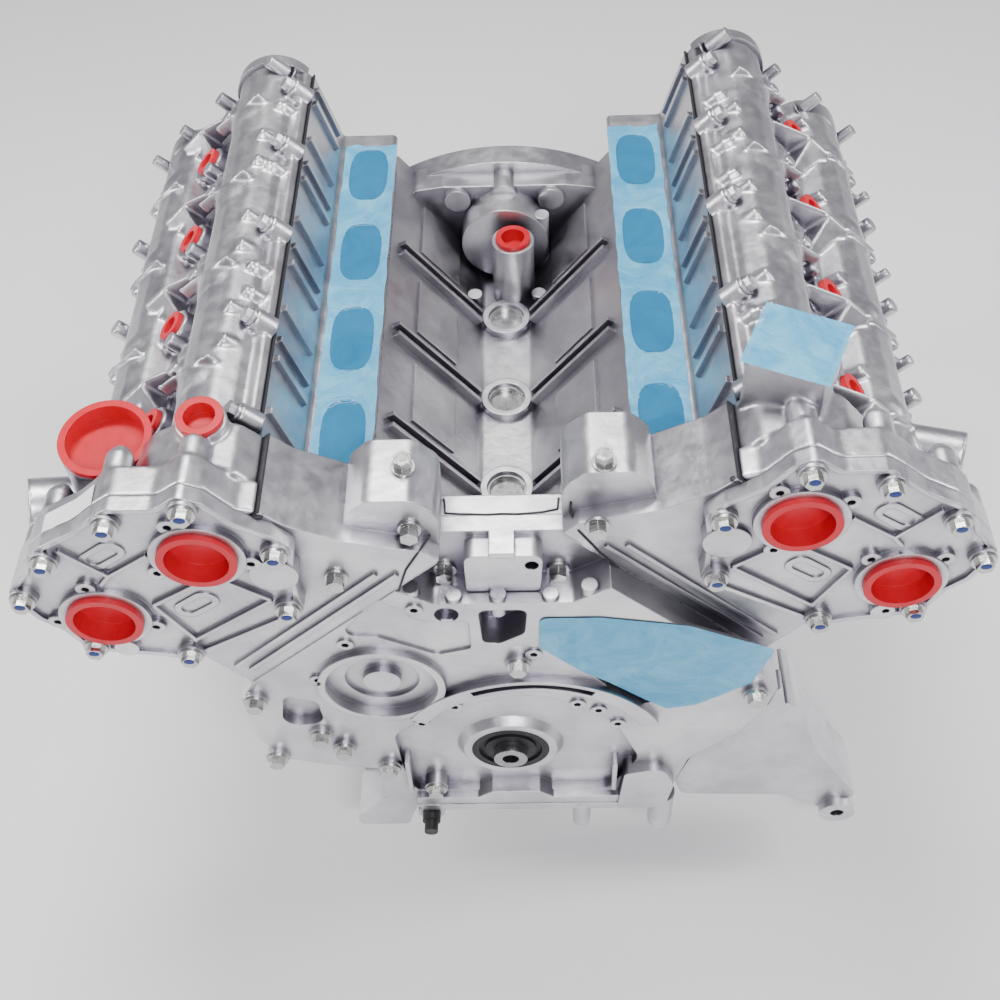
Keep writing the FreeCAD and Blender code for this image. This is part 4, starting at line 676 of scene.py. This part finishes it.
def sealant_line(number, points):
    """Bead of sealant along a line of points."""
    curve = bpy.data.curves.new("sealant_%d" % number, "CURVE")
    curve.dimensions = "3D"
    curve.bevel_depth = sealant_radius
    curve.bevel_resolution = 2
    spline = curve.splines.new("POLY")
    spline.points.add(len(points) - 1)
    for point, place in zip(spline.points, points):
        point.co = (place[0] / 1000, place[1] / 1000, place[2] / 1000, 1.0)
    holder = new_object("sealant_curve_%d" % number, curve)
    graph = bpy.context.evaluated_depsgraph_get()
    data = bpy.data.meshes.new_from_object(holder.evaluated_get(graph))
    bpy.data.objects.remove(holder)
    data.materials.clear()
    data.materials.append(materials["dark_sealant"])
    piece = new_object("sealant_line_%d" % number, data)
    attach(piece, "engine")


def dress_sealant():
    """Black sealant squeezed out of the joints between the heads, the block and the timing cover."""
    for number, points in enumerate(sealant_lines):
        sealant_line(number, points)
    mesh = bmesh.new()
    for x, y, z, long, wide in sealant_dabs:
        add_dab(mesh, Vector((x, y, z)) / 1000, (long / 1000, sealant_dab_depth, wide / 1000))
    finish_piece(mesh, "sealant_dabs", "dark_sealant")


def dress_label():
    """Bare paper label laid on the front of the left cover, following its shape."""
    corners = [Vector(corner) / 1000 for corner in label_corners]
    cover = bpy.data.objects["cam_cover_left_casting"]
    tree = BVHTree.FromObject(cover, bpy.context.evaluated_depsgraph_get())
    vertices = []
    for row in range(label_steps + 1):
        for column in range(label_steps + 1):
            near = corners[0].lerp(corners[1], column / label_steps)
            far = corners[3].lerp(corners[2], column / label_steps)
            place = near.lerp(far, row / label_steps)
            hit = tree.ray_cast(place + label_outward * label_search, -label_outward, 2 * label_search)[0]
            vertices.append((hit if hit is not None else place) + label_outward * label_lift)
    data = bpy.data.meshes.new("bare_label")
    data.from_pydata(vertices, [], grid_faces(label_steps, label_steps))
    data.materials.append(materials["label_paper"])
    make_smooth(data)
    piece = new_object("bare_label", data)
    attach(piece, "engine")


dress_covers()
dress_rears()
dress_front()
dress_head_pads()
dress_sealant()
dress_label()


# Masking film


def port_distance(side, x, y):
    """Middle of the nearest port, and 1 on its window's rounded outline, less inside."""
    middle_x = (port_row_inner + port_row_outer) / 2 * (1 if side == "right" else -1)
    start = (first_throw_y + bank_shift[side]) / 1000
    pitch = bore_pitch / 1000
    nearest = min(3, max(0, round((y - start) / pitch)))
    middle_y = start + pitch * nearest + window_shift[side]
    across = abs(x - middle_x) / window_half_width
    along = abs(y - middle_y) / window_half_length
    return (middle_x, middle_y), (across ** window_power + along ** window_power) ** (1 / window_power)


def port_share(side, x, y):
    """1 over a port, 0 beside it, smooth between."""
    distance = port_distance(side, x, y)[1]
    return min(1.0, max(0.0, (window_rim_outside - distance) / window_rim))


def film_sheet(side):
    """Film over the intake face: sunk a little over the four ports, creased, with a ragged cut edge."""
    node = "intake_port_film_" + side
    low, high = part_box(node)
    length = high[1] - low[1]
    width = high[0] - low[0]
    draws = random.Random(film_seeds[side])
    offset = Vector((draws.random(), draws.random(), draws.random())) * film_offset_span
    vertices = []
    for row in range(film_rows + 1):
        for column in range(film_columns + 1):
            x = low[0] + width * column / film_columns
            y = low[1] + length * row / film_rows
            crease = crease_height * noise.noise(Vector((x * crease_scale, y * crease_scale, 0.0)) + offset)
            fold = fold_height * noise.noise(Vector((x * fold_scales[0], y * fold_scales[1], 1.0)) + offset)
            sink = window_sink * port_share(side, x, y)
            z = max(low[2], high[2] - film_below_face + crease + fold - sink)
            middle, distance = port_distance(side, x, y)
            if 0.0 < abs(distance - 1.0) < window_snap:
                x = middle[0] + (x - middle[0]) / distance
                y = middle[1] + (y - middle[1]) / distance
            if column in (0, film_columns):
                spot = Vector((x * ragged_side_scales[0], y * ragged_side_scales[1], 2.0))
                x += ragged_side * noise.noise(spot + offset)
            if row in (0, film_rows):
                spot = Vector((x * ragged_end_scales[0], y * ragged_end_scales[1], 3.0))
                y += ragged_end * noise.noise(spot + offset)
            vertices.append((x, y, z))
    data = bpy.data.meshes.new(node + "_sheet")
    data.from_pydata(vertices, [], grid_faces(film_rows, film_columns))
    data.materials.append(materials["blue_film"])
    data.materials.append(materials["blue_film_over_port_painted_shade"])
    make_smooth(data)
    for number, polygon in enumerate(data.polygons):
        row, column = divmod(number, film_columns)
        centre_x = low[0] + width * (column + 0.5) / film_columns
        centre_y = low[1] + length * (row + 0.5) / film_rows
        # Faces over a port take the film with the port's shade painted into it.
        polygon.material_index = 1 if port_share(side, centre_x, centre_y) > 0.5 else 0
    piece = new_object(node + "_sheet", data)
    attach(piece, "engine")
    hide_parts(node)


def film_patch(node, outward):
    """Film cut to its node's outline: the node's outer face alone, creased a little."""
    mesh = bmesh.new()
    mesh.from_mesh(frame["nodes"][node].data)
    hidden = [face for face in mesh.faces if face.normal.dot(outward) < patch_facing]
    bmesh.ops.delete(mesh, geom=hidden, context="FACES")
    bmesh.ops.remove_doubles(mesh, verts=mesh.verts, dist=weld_distance)
    for _ in range(patch_rounds):
        long_edges = [edge for edge in mesh.edges if edge.calc_length() > patch_edge]
        if long_edges:
            bmesh.ops.subdivide_edges(mesh, edges=long_edges, cuts=1)
            bmesh.ops.triangulate(mesh, faces=mesh.faces)
    for vertex in mesh.verts:
        crease = noise.noise(vertex.co * patch_scales[0]) + 0.5 * noise.noise(vertex.co * patch_scales[1])
        vertex.co += outward * patch_crease * crease
    data = bpy.data.meshes.new(node + "_sheet")
    mesh.to_mesh(data)
    mesh.free()
    data.materials.clear()
    data.materials.append(materials["blue_film"])
    make_smooth(data)
    piece = new_object(node + "_sheet", data)
    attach(piece, "engine")
    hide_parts(node)


def dress_films():
    for side in sides:
        film_sheet(side)
    film_patch("water_port_film", Vector((0.0, -1.0, 0.0)))
    film_patch("pump_pad_film", Vector((0.0, 0.0, 1.0)))


dress_films()
